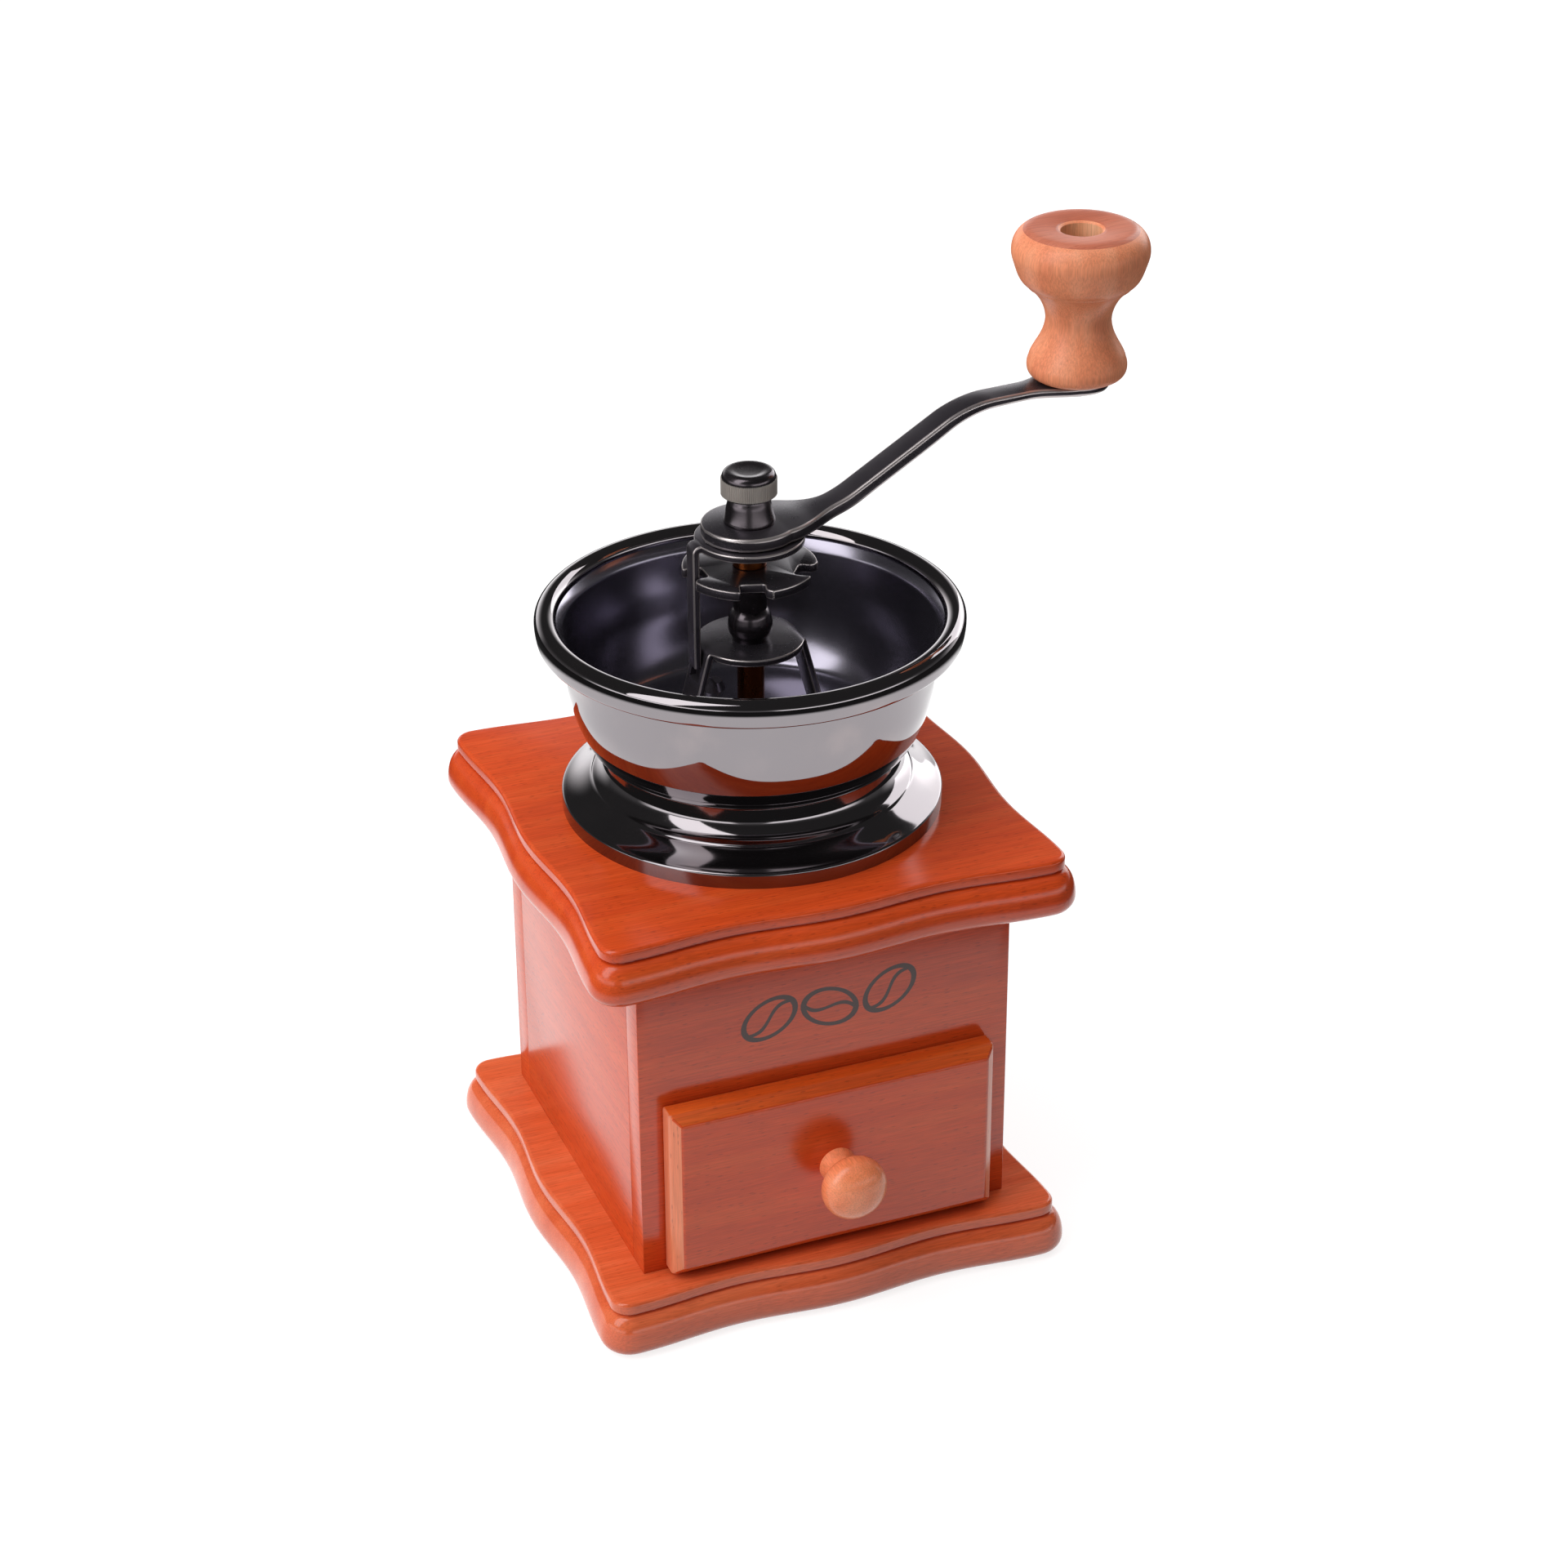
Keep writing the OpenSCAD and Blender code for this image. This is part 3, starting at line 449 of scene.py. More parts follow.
# Drawer front, rubbed down after varnishing: a duller face than the mouldings
front_board_wood = grained_beech("stained beech, semi gloss varnish, grain across", STAIN, "X", 0.24)

# Long bevels of the drawer front: a brighter amber orange than the face
bevel_top_wood = grained_beech("stained beech, amber on the long bevels",
                               ("#D8541A", "#E25E20", "#EA6C2C"), "X", 0.3)

# Short bevels of the drawer front, across the end grain: a pale orange-tan, lighter than the face
bevel_side_wood = grained_beech("stained beech, pale end grain on the bevel",
                                ("#E27C58", "#EA8862", "#F09470"), "Z", 0.3)

# Crank knob, turned and wiped with thin varnish: light orange, satin, grain running up
turned_upright = grained_beech("light beech, turned, grain upright", ("#E28660", "#EC946C", "#F2A27C"), "Z",
                               0.34, 0.55, "#B86A42", 0.3)

# Flat top of the crank knob: end grain drinks the stain, so darker and redder
turned_top = grained_beech("light beech, end of the turning, takes more stain",
                           ("#B66248", "#BE6A50", "#C8785E"), "X", 0.3, 0.6, "#9A4A34")

# Bore in the crank knob: little stain got in, so a dry light tan
turned_inside = grained_beech("light beech, bored, thin stain", ("#DCA078", "#E6AE88", "#EEBC98"), "Z", 0.4,
                              0.2, "#B07A50", 0.3)

# Drawer knob, turned and fully varnished: a small bright highlight on its head
turned_forward = grained_beech("light beech, turned, grain forward", ("#EE8252", "#FA9062", "#FF9E72"), "Y",
                               0.26, fleck="#B86A42", fleck_share=0.3)

# Drawer box, dowels and guides, sanded and left bare: matt cream with brown flecks
raw_beech = grained_beech("raw beech, sanded", ("#CFA67C", "#DCB68E", "#E6C49E"), "Y", 0.05, 0.0,
                          "#A87A50", 0.5)


# ---------------------------------------------------------------- metal

# Size of the clouds in the haze, and of the specks of dust
HAZE_MM = 50 / 3
DUST_MM = 2 / 3


def worked_metal(name, base, tint, roughness, dust=0.1, metallic=1.0, haze=0.25):
    """Plated or machined metal: a faint cloudy haze in its colour and polish, and specks of dull dust."""
    material, tree = new_material(name)
    position = add(tree, "ShaderNodeTexCoord").outputs["Object"]
    clouds = add(tree, "ShaderNodeTexNoise", {"Vector": position, "Scale": 1 / (HAZE_MM * MM), "Detail": 4.0})
    tinted = add(tree, "ShaderNodeMapRange", {0: clouds, 1: 0.45, 2: 0.8, 3: 0.0, 4: 0.18}, **EASED)
    tone = add(tree, "ShaderNodeMix", {0: tinted, 6: to_linear(base), 7: to_linear(tint)},
               **COLOUR).outputs[2]
    polish = add(tree, "ShaderNodeMapRange", {0: clouds, 1: 0.3, 2: 0.7, 3: roughness * (1 - haze),
                                              4: roughness * (1 + haze)}, **EASED)
    grains = add(tree, "ShaderNodeTexNoise", {"Vector": position, "Scale": 1 / (DUST_MM * MM), "Detail": 2.0})
    dusty = add(tree, "ShaderNodeMapRange", {0: grains, 1: 0.66, 2: 0.8, 3: 0.0, 4: dust}, **EASED)
    rough = add(tree, "ShaderNodeMath", {0: polish, 1: dusty}, operation="ADD")
    shader = add(tree, "ShaderNodeBsdfPrincipled", {"Base Color": tone, "Metallic": metallic,
                                                    "Roughness": rough})
    add(tree, "ShaderNodeOutputMaterial", {"Surface": shader})
    return material


# Black nickel on spun steel, buffed: a dark, faintly warm mirror that shows the wood and the table
black_nickel = worked_metal("black nickel plate, mirror", "#868184", "#B8A8A4", 0.04, 0.06)

# The hopper's base ring is spun a little coarser: the same mirror with softer borders
black_nickel_deep = worked_metal("black nickel plate, spun base ring", "#868184", "#B8A8A4", 0.075, 0.06)

# Turned parts, plated over tool marks: a dim sheen with a broad highlight
black_nickel_soft = worked_metal("black nickel plate, turned parts", "#565054", "#686062", 0.24, 0.06, 0.95)

# Pressed parts, tumbled before plating: dark satin
black_nickel_satin = worked_metal("black nickel plate, tumbled parts", "#58535A", "#6A6264", 0.3, 0.1, 0.85)

# Edges of the pressed parts: a light line that draws each outline. It is partly the plate worn thin by
# handling and partly a painted highlight, as the lamps leave these edges dark
worn_edge_and_highlight = worked_metal("black nickel, rubbed bright on the edges", "#B4ACAC", "#C8BEB8", 0.3, 0.1, 0.8)

# The cap nut's knurl: fine light grey ridges
knurl_grey = worked_metal("black nickel, light grey on the knurl", "#C6BEB8", "#D0C6BE", 0.35, 0.1, 0.55)

# Inside of the hopper, plated but not buffed: a violet black with soft pools of light
black_inside = worked_metal("black nickel plate, satin inside", "#8E8A96", "#96929E", 0.2, 0.0, 0.98, 0.1)

# Screws, washers and nuts: grey, slightly yellow zinc
zinc_steel = worked_metal("zinc plated steel", "#A9A9AC", "#C8C4BC", 0.25)

# Burrs: dark grey iron, dull from the cutter
burr_iron = worked_metal("grey cast iron, machined", "#6E6B68", "#8A8378", 0.4, 0.15)

# Shaft and bush: brown metal, darkened by coffee oil
dull_bronze = worked_metal("dull bronze", "#8A4A22", "#4A2412", 0.3)


# ---------------------------------------------------------------- wooden plates

CORNER_R = 8.0
WAVE = 2.05
STEP_IN = 3.0
STEP_H = 3.0
STEP_R = 1.1
GROOVE_H = 0.9
NOSE_IN = 4.0
NOSE_WIDEST = 0.34          # where the nose is widest, as a share of its height
SCREW_HEAD_R = 3.6
RECESS_R = 4.4
RECESS_H = 4.0
TOP_HOLE_R = 24.8
PAST = 2.0                  # how far a cutter runs out past a face


def plate_outline(inset, per_side=72, per_corner=10):
    """The plate's wavy square drawn in by inset; the wave dies out towards the corners."""
    radius = CORNER_R - inset
    straight = plate_half - CORNER_R
    side = []
    for i in range(1, per_side):
        t = straight * (2 * i / per_side - 1)
        side.append((straight + radius - WAVE * (1 - math.cos(2 * math.pi * t / straight)) / 2, t))
    side += arc((straight, straight), radius, 0, 90, per_corner)
    outline = []
    for c, s in ((1, 0), (0, 1), (-1, 0), (0, -1)):
        outline += [(x * c - y * s, x * s + y * c) for x, y in side]
    return outline


def plate_edge():
    """The moulding from the underside to the top, as (inset, height): full nose, groove, rounded step."""
    nose_h = plate_t - STEP_H - GROOVE_H
    widest = nose_h * NOSE_WIDEST
    nose = []
    for degrees in (*range(-90, 0, 10), *range(0, 91, 6)):
        a = math.radians(degrees)
        half_h = widest if a < 0 else nose_h - widest
        nose.append((NOSE_IN * (1 - math.cos(a)), widest + half_h * math.sin(a)))
    groove = [(NOSE_IN + 0.1, nose_h + 0.35), (NOSE_IN - 0.1, nose_h + GROOVE_H - 0.15),
              (STEP_IN, nose_h + GROOVE_H)]
    step = arc((STEP_IN + STEP_R, plate_t - STEP_R), STEP_R, 180, 90, 7)
    return nose + groove + step


def wavy_plate(name, z):
    """A plate lofted from its underside at z up through the rings of its moulding."""
    profile = plate_edge()
    rings = [plate_outline(inset) for inset, _ in profile]
    n = len(rings[0])
    vertices = [(x, y, z + h) for ring, (_, h) in zip(rings, profile) for x, y in ring]
    faces = [list(range(n)), list(range(len(vertices) - n, len(vertices)))]
    for start in range(0, len(vertices) - n, n):
        for i in range(n):
            j = (i + 1) % n
            faces.append([start + i, start + j, start + n + j, start + n + i])
    return mesh_object(name, vertices, faces, 40)


base_plate = wavy_plate("base_plate_wood", 0)
screw_x, screw_y = [v - SCREW_HEAD_R for v in box_mm("base_screws")[1][:2]]
for side_x in (-1, 1):
    for side_y in (-1, 1):
        bore(base_plate, side_x * screw_x, side_y * screw_y, RECESS_R, -PAST, RECESS_H)
# Painted light: the base's paler orange stands in for the bounced light on the low boards
finish(coat(base_plate, base_wood_painted_paler), "case", "case_wood", "base_plate")

top_plate = wavy_plate("top_plate_wood", z_top_under)
bore(top_plate, 0, 0, TOP_HOLE_R, z_top_under - PAST, z_top + PAST, 96)
finish(coat(top_plate, case_front_wood), "case", "case_wood", "top_plate")


# ---------------------------------------------------------------- box panels

PANEL_EDGE = 0.2
SIDE_PANEL_EDGE = 0.05
DRAWER_GAP = 0.5


def board(name, low, high, edge):
    """A plain board with softened edges."""
    outline = [(low[0], low[1]), (high[0], low[1]), (high[0], high[1]), (low[0], high[1])]
    return soften(prism(name, outline, low[2], high[2]), edge)


drawer_side_low, drawer_side_high = box_mm("drawer_left_side")
opening_half = DRAWER_GAP - drawer_side_low[0]
opening_top = drawer_side_high[2] + DRAWER_GAP
front_outline = [(-body_half, z_case), (-opening_half, z_case), (-opening_half, opening_top),
                 (opening_half, opening_top), (opening_half, z_case), (body_half, z_case),
                 (body_half, z_top_under), (-body_half, z_top_under)]
front_y = [corner[1] for corner in box_mm("front_panel")]
front_panel = soften(prism("front_panel_wood", front_outline, *front_y, upright=True), PANEL_EDGE)
back_panel = board("back_panel_wood", *box_mm("back_panel"), PANEL_EDGE)
for panel, node, face_wood in ((front_panel, "front_panel", printed_wood),
                               (back_panel, "back_panel", case_front_wood)):
    coat(panel, face_wood, case_side_wood)
    # Faces towards the sides look like the side panels that they end flush with
    for face in panel.data.polygons:
        if abs(face.normal.x) > 0.7:
            face.material_index = 1
    finish(panel, "case", "case_wood", node)
for node in ("left_panel", "right_panel"):
    panel = board(node + "_wood", *box_mm(node), SIDE_PANEL_EDGE)
    finish(coat(panel, case_side_wood), "case", "case_wood", node)


# ---------------------------------------------------------------- drawer

FRONT_BEVEL = 2.7
FRONT_EDGE = 0.7
DRAWER_BOX_EDGE = 0.5


def drawer_board():
    """The drawer's front board: four broad bevels around the face, every edge slightly rounded."""
    (x0, y0, z0), (x1, y1, z1) = box_mm("drawer_front")
    b = FRONT_BEVEL
    rings = [[(x0, y1, z0), (x1, y1, z0), (x1, y1, z1), (x0, y1, z1)],
             [(x0, y0 + b, z0), (x1, y0 + b, z0), (x1, y0 + b, z1), (x0, y0 + b, z1)],
             [(x0 + b, y0, z0 + b), (x1 - b, y0, z0 + b), (x1 - b, y0, z1 - b), (x0 + b, y0, z1 - b)]]
    vertices = [v for ring in rings for v in ring]
    faces = [[0, 1, 2, 3], [8, 9, 10, 11]]
    for start in (0, 4):
        for i in range(4):
            j = (i + 1) % 4
            faces.append([start + i, start + j, start + 4 + j, start + 4 + i])
    front = soften(mesh_object("drawer_front_wood", vertices, faces), FRONT_EDGE, 4, 20)
    coat(front, front_board_wood, bevel_top_wood, bevel_side_wood)
    # Faces towards the sides are end grain, those towards the top and the bottom lie along the grain
    for face in front.data.polygons:
        if abs(face.normal.x) > 0.5:
            face.material_index = 2
        elif abs(face.normal.z) > 0.5:
            face.material_index = 1
    return front


def pull_profile(r, reach):
    """The drawer's knob from the board to its crown: a small flare, a waist and a round mushroom head."""
    return joined([(0, 0), (5.0, 0)],
                  ((4.9, 1.2), (4.1, 2.6), (4.1, 4.4), 8),
                  ((4.1, 6.0), (5.0, 7.0), (6.6, 7.5), 8),
                  ((8.0, 8.0), (r, 9.4), (r, 11.4), 8),
                  ((r, 14.4), (r * 0.62, reach), (0, reach), 14))


finish(drawer_board(), "drawer", "case_wood", "drawer_front")
pull_low, pull_high = box_mm("drawer_knob")
pull_r = (pull_high[0] - pull_low[0]) / 2
pull = lathe("drawer_knob_wood", pull_profile(pull_r, pull_high[1] - pull_low[1]),
             (0, pull_high[1], (pull_low[2] + pull_high[2]) / 2), forward=True, closed=False, sharp_angle=50)
finish(coat(pull, turned_forward), "drawer", "turned_wood", "drawer_knob")
for node in ("drawer_left_side", "drawer_right_side", "drawer_back", "drawer_bottom"):
    piece = board(node + "_wood", *box_mm(node), DRAWER_BOX_EDGE)
    finish(coat(piece, raw_beech), "drawer", "raw_wood", node)


# ---------------------------------------------------------------- hopper

SHEET = 1.2
NECK_R = 37.0
SKIRT_HOLE_R = 25.0
BOWL_HOLE_R = 19.0
BEAD_DROP = 3.7             # from the rim's top plane down to the middle of the bead
BEAD_HALF_W = 2.8
BEAD_HALF_H = 2.5
WALL_R = 46.2               # outer radius of the bowl's wall at WALL_R_UP above its underside
WALL_R_UP = 13
WALL_FROM, WALL_TO = 2, 33  # heights above its underside that the wall runs between

# Slope of the bowl's wall from upright, in degrees, at heights above its underside
WALL_SLOPE = ((2, 36), (5, 26.5), (8, 21), (12.5, 14.3), (17, 6), (21, 5.5), (25, 7.5), (29, 8.5), (33, 9))


def wall_slope(h):
    """The wall's slope from upright at height h, in radians."""
    for (h0, a0), (h1, a1) in zip(WALL_SLOPE, WALL_SLOPE[1:]):
        if h <= h1:
            return math.radians(a0 + (a1 - a0) * (h - h0) / (h1 - h0))


def bowl_wall(t):
    """The bowl's wall from the floor's edge up to the bead, drawn in by t."""
    radius = 0.0
    line = []
    for h in range(WALL_FROM, WALL_TO + 1):
        line.append((radius, h, wall_slope(h)))
        radius += math.tan(wall_slope(h))
    shift = WALL_R - line[WALL_R_UP - WALL_FROM][0]
    wall = [(r + shift - t * math.cos(a), h + t * math.sin(a)) for r, h, a in line]
    x, y = wall[0]
    return bezier((NECK_R - 1, t), (x - 2.6, t), (x - 1.0, y - 1.2), (x, y), 6) + wall[1:]


def bowl_profile():
    """Floor, outer wall, rolled bead with a short lip hanging outside the wall, inner wall."""
    r = bowl_high[0]
    bead_h = bowl_high[2] - z_bowl - BEAD_DROP
    lip = joined([(r - 5.0, 32.6), (r - 3.6, 31.6), (r - 1.8, 31.1), (r - 1.1, 31.1)],
                 ((r - 0.7, 31.2), (r - 0.5, 31.6), (r - 0.4, 32.2), 4),
                 ((r - 0.2, 33.2), (r, 34.2), (r, bead_h), 5))
    roll = [(r - BEAD_HALF_W + BEAD_HALF_W * x, bead_h + BEAD_HALF_H * y)
            for x, y in arc((0, 0), 1, 6, 192, 31)]
    return ([(BOWL_HOLE_R, 0)] + bowl_wall(0)[:-1] + lip + roll + bowl_wall(SHEET)[::-1]
            + [(BOWL_HOLE_R, SHEET)])


def skirt_line(foot, height):
    """Upright foot rim, gently rising lip, a small step, then a hollow fillet into the upright neck."""
    neck = NECK_R
    return joined([(foot, 0), (foot, 3.4)],
                  ((foot, 3.8), (foot - 0.2, 4.0), (foot - 0.6, 4.15), 5),
                  ((foot - 3.4, 5.0), (neck + 7.2, 6.4), (neck + 4.8, 7.6), 14),
                  ((neck + 4.6, 7.8), (neck + 4.5, 8.0), (neck + 4.2, 8.1), 4),
                  ((neck + 2.2, 8.9), (neck + 0.6, 10.4), (neck + 0.2, 12.4), 12),
                  [(neck, height)])


def skirt_profile():
    """The skirt's outer line, its flat top with the hole, and the same line again under the sheet."""
    height = z_bowl - z_top
    outer = skirt_line(box_mm("hopper_skirt")[1][0], height)
    inner = [(r - SHEET, max(h - SHEET, 0)) for r, h in outer]
    return outer + [(SKIRT_HOLE_R, height), (SKIRT_HOLE_R, height - SHEET)] + inner[::-1]


bowl = lathe("hopper_bowl_metal", bowl_profile(), (0, 0, z_bowl), segments=192)
coat(bowl, black_nickel, black_inside)
for face in bowl.data.polygons:
    outward = face.normal.x * face.center.x + face.normal.y * face.center.y
    above_floor = face.center.z > (z_bowl + SHEET / 2) * MM
    on_bead = face.center.z > (bowl_high[2] - BEAD_DROP) * MM
    # The floor's faces point straight up, apart from rounding
    if outward <= 1e-9 and above_floor and not on_bead:
        face.material_index = 1
finish(bowl, "case", "black_nickel", "hopper_bowl")
skirt = lathe("hopper_skirt_metal", skirt_profile(), (0, 0, z_top), segments=192)
finish(coat(skirt, black_nickel_deep), "case", "black_nickel", "hopper_skirt")


# ---------------------------------------------------------------- pressed straps and plates

END_HALF = 0.02             # half width that a rounded end closes to


def pressed_strip(name, path, half_width, thickness, edge, turn=0.0):
    """A strip of plate bent along a path in X and Z, then turned about Z; its edges take the second material.

    path is the line of its upper face, half_width(s) and thickness(s) are its size at distance s along it,
    and edge is the radius of its edges."""
    points = [Vector((x, 0, z)) for x, z in path]
    corner = arc((0, 0), 1, 0, 90, 3)
    per_ring = 4 * len(corner)
    vertices, faces, edge_faces = [], [], []
    distance = 0.0
    for i, point in enumerate(points):
        before = points[max(i - 1, 0)]
        after = points[min(i + 1, len(points) - 1)]
        distance += (point - before).length
        along = (after - before).normalized()
        up = Vector((-along.z, 0, along.x))
        w = max(half_width(distance), END_HALF)
        t = thickness(distance) / 2
        e = min(edge, w / 2)
        for side, face, order in ((1, 1, corner), (-1, 1, corner[::-1]), (-1, -1, corner),
                                  (1, -1, corner[::-1])):
            for c, s in order:
                place = point + up * (face * (t - edge + edge * s) - t)
                vertices.append((place.x, side * (w - e + e * c), place.z))
    for start in range(0, len(vertices) - per_ring, per_ring):
        for i in range(per_ring):
            j = (i + 1) % per_ring
            if j % len(corner):
                edge_faces.append(len(faces))
            faces.append([start + i, start + j, start + per_ring + j, start + per_ring + i])
    faces.append(list(range(per_ring)))
    faces.append(list(range(len(vertices) - per_ring, len(vertices))))
    c, s = math.cos(turn), math.sin(turn)
    vertices = [(x * c - y * s, x * s + y * c, z) for x, y, z in vertices]
    # The rounded edges take the light edge colour: partly wear, partly a painted highlight
    return coat(mesh_object(name, vertices, faces, 40, edge_faces), black_nickel_satin, worn_edge_and_highlight)


# ---------------------------------------------------------------- crank arm

ARM_T = 3.5
ARM_THINNED = 1.1           # how much thinner the arm is at the knob than at the hub
ARM_EDGE = 0.8
ARM_HALF = 4.0
HUB_R = 12.3
END_R = 8.5
FLANK_FROM = 6.0            # the hub's round outline runs into the arm's flanks past here
FLANK_HALF = 10.4
NARROW_OVER = 17.0
WIDEN_BEFORE = 16.0         # the flanks widen again this far before the middle of the round end
WIDEN_OVER = 14.0
WIDENED_HALF = 0.93 * END_R
THIN_FROM = 60.0
THIN_OVER = 35.0
BEND_FROM = 21.5
BEND_R = 7.5
BEND_SLOPE = math.radians(28.5)


def arm_path():
    """The arm's upper face: level over the hub, up the bend, and level again to the end under the knob."""
    bend_to = BEND_FROM + (z_arm_end - z_hub_top) / math.tan(BEND_SLOPE)
    corners = [(-HUB_R, z_hub_top), (BEND_FROM, z_hub_top), (bend_to, z_arm_end),
               (crank_r + END_R, z_arm_end)]
    return densify(rounded(corners, [BEND_R, BEND_R], 12), 0.6)


arm_line = arm_path()
arm_length = run_length(arm_line)


def arm_half_width(s):
    """A round hub, hollow flanks that narrow to the arm and widen again, and a round end."""
    from_hub = s - HUB_R
    to_end = arm_length - END_R - s
    flanks = 0.0
    if from_hub > FLANK_FROM and to_end > 0:
        narrowed = eased((from_hub - FLANK_FROM) / NARROW_OVER)
        widened = eased((WIDEN_BEFORE - to_end) / WIDEN_OVER)
        flanks = FLANK_HALF + (ARM_HALF - FLANK_HALF) * narrowed + (WIDENED_HALF - ARM_HALF) * widened
    return max(disc_width(s, HUB_R, HUB_R), disc_width(s, arm_length - END_R, END_R), flanks)


def arm_thickness(s):
    """The arm is drawn thinner towards the knob."""
    return ARM_T - ARM_THINNED * eased((s - THIN_FROM) / THIN_OVER)


arm = pressed_strip("crank_arm_metal", arm_line, arm_half_width, arm_thickness, ARM_EDGE, crank_angle)
finish(arm, "crank", "black_nickel", "crank_arm")


# ---------------------------------------------------------------- cap nut with straight knurl

nut_h = nut_high[2] - z_hub_top
RIDGE_COUNT = 84
RIDGE_ROOM = 0.25           # the head is drawn in by this to make room for its ridges
RIDGE_OUT = 0.22
RIDGE_SUNK = 0.3
RIDGE_HALF = 0.25
HEAD_FROM = 7.6             # height of the knurled band's lower end
HEAD_ROUND_H = 2.2          # height of the rounding over the band
head_r = nut_high[0] - RIDGE_ROOM


def nut_profile():
    """A flared skirt, a narrow neck and a round head that carries the knurl, its top slightly dished."""
    r = head_r
    h = nut_h
    return joined([(0, 0), (6.5, 0), (6.6, 0.15), (6.6, 0.8)],
                  ((6.3, 1.6), (5.9, 3.4), (5.6, 5.0), 8),
                  ((5.4, 5.8), (5.1, 6.2), (5.1, 6.6), 4),
                  ((5.4, 7.0), (r - 0.6, 6.9), (r - 0.3, 7.2), 4),
                  [(r, HEAD_FROM), (r, h - HEAD_ROUND_H)],
                  ((r, h - 0.9), (r - 0.6, h), (r - 1.7, h), 8),
                  ((r - 2.6, h), (r - 3.2, h - 0.3), (r - 4.0, h - 0.35), 5),
                  [(0, h - 0.35)])


def ring_tree():
    """Geometry nodes: copies of one object standing on a circle, each turned to face outwards."""
    tree = bpy.data.node_groups.new("copies on a circle", "GeometryNodeTree")
    sockets = {}
    for label, kind in (("Piece", "NodeSocketObject"), ("Count", "NodeSocketInt"),
                        ("Radius", "NodeSocketFloat"), ("Height", "NodeSocketFloat"),
                        ("Material", "NodeSocketMaterial")):
        sockets[label] = tree.interface.new_socket(label, in_out="INPUT", socket_type=kind).identifier
    tree.interface.new_socket("Geometry", in_out="OUTPUT", socket_type="NodeSocketGeometry")
    given = add(tree, "NodeGroupInput").outputs
    circle = add(tree, "GeometryNodeMeshCircle", {"Vertices": given["Count"], "Radius": given["Radius"]})
    index = add(tree, "GeometryNodeInputIndex")
    share = add(tree, "ShaderNodeMath", {0: index, 1: given["Count"]}, operation="DIVIDE")
    angle = add(tree, "ShaderNodeMath", {0: share, 1: 2 * math.pi}, operation="MULTIPLY")
    facing = add(tree, "ShaderNodeCombineXYZ", {"Z": angle})
    piece = add(tree, "GeometryNodeObjectInfo", {"Object": given["Piece"]}).outputs["Geometry"]
    copies = add(tree, "GeometryNodeInstanceOnPoints", {"Points": circle, "Instance": piece,
                                                        "Rotation": facing})
    lift = add(tree, "ShaderNodeCombineXYZ", {"Z": given["Height"]})
    placed = add(tree, "GeometryNodeTransform", {"Geometry": copies, "Translation": lift})
    real = add(tree, "GeometryNodeRealizeInstances", {"Geometry": placed})
    coated = add(tree, "GeometryNodeSetMaterial", {"Geometry": real, "Material": given["Material"]})
    add(tree, "NodeGroupOutput", {"Geometry": coated})
    return tree, sockets


copies_tree, copies_inputs = ring_tree()


def copies_on_circle(name, piece, count, radius, height, material):
    """A ring of copies of piece, which it uses up, as one plain mesh. Sizes in millimetres."""
    obj = new_object(name, bpy.data.meshes.new(name))
    modifier = obj.modifiers.new("copies", "NODES")
    modifier.node_group = copies_tree
    values = {"Piece": piece, "Count": count, "Radius": radius * MM, "Height": height * MM,
              "Material": material}
    for label, value in values.items():
        modifier[copies_inputs[label]] = value
    apply_modifiers(obj)
    bpy.data.objects.remove(piece)
    return obj


nut = lathe("cap_nut_body", nut_profile(), (0, 0, z_hub_top), segments=120, closed=False)
ridge = prism("ridge", [(-RIDGE_SUNK, -RIDGE_HALF), (RIDGE_OUT, 0), (-RIDGE_SUNK, RIDGE_HALF)],
              HEAD_FROM - 0.1, nut_h - HEAD_ROUND_H + 0.2)
knurl = copies_on_circle("cap_nut_knurl", ridge, RIDGE_COUNT, head_r, z_hub_top, knurl_grey)
coat(nut, black_nickel_soft, knurl_grey)
# The band between the ridges takes the same light grey as they do
for face in nut.data.polygons:
    up_nut = face.center.z / MM - z_hub_top
    if HEAD_FROM - 0.3 < up_nut < nut_h - HEAD_ROUND_H and abs(face.normal.z) < 0.3:
        face.material_index = 1
finish(nut, "crank", "black_nickel", "cap_nut")
finish(knurl, "crank", "black_nickel")


# ---------------------------------------------------------------- locking plate and bridge

STRAP_T = 1.8
STRAP_EDGE = 0.4
LOCK_R = 14.0
LOCK_BEND_R = 2.2
LOCK_BORE_R = 3.7
LEG_X = 16.1
LEG_HALF = 2.5
LEG_PLAY = 0.3
BRIDGE_R = 13.8
BRIDGE_BORE_R = 4.0
BRIDGE_LEG_HALF = 4.8
BRIDGE_END_HALF = 3.4
BRIDGE_REACH = 34.0
BRIDGE_FOLD_IN = 0.6        # the fold lies this far inside the round plate's edge
BRIDGE_FOOT_OUT = 6.4       # and the foot's fold this far outside it
BRIDGE_FOLD_RS = (1.6, 2.0)
SLOT_X = (-20.0, -13.9)     # the opening for the locking plate's leg
STRAP_CUT = 4.0             # how far down a cutter reaches through a strap
SLOT_CUT = 9.0              # and through the bend of one


def strap_thickness(_):
    """The straps are of one thickness all along."""
    return STRAP_T


def lock_path():
    """The plate's upper face, from the leg's foot up and across the disc, so that its upper side is up."""
    corners = [(LOCK_R, z_lock_top), (-LEG_X, z_lock_top), (-LEG_X, z_lock_foot)]
    return densify(rounded(corners, [LOCK_BEND_R], 8), 0.5)[::-1]


lock_line = lock_path()
lock_length = run_length(lock_line)


def lock_half_width(s):
    """The leg's half width, then the disc's."""
    to_end = lock_length - s
    return max(disc_width(to_end, LOCK_R, LOCK_R), LEG_HALF if to_end > LOCK_R else 0.0)


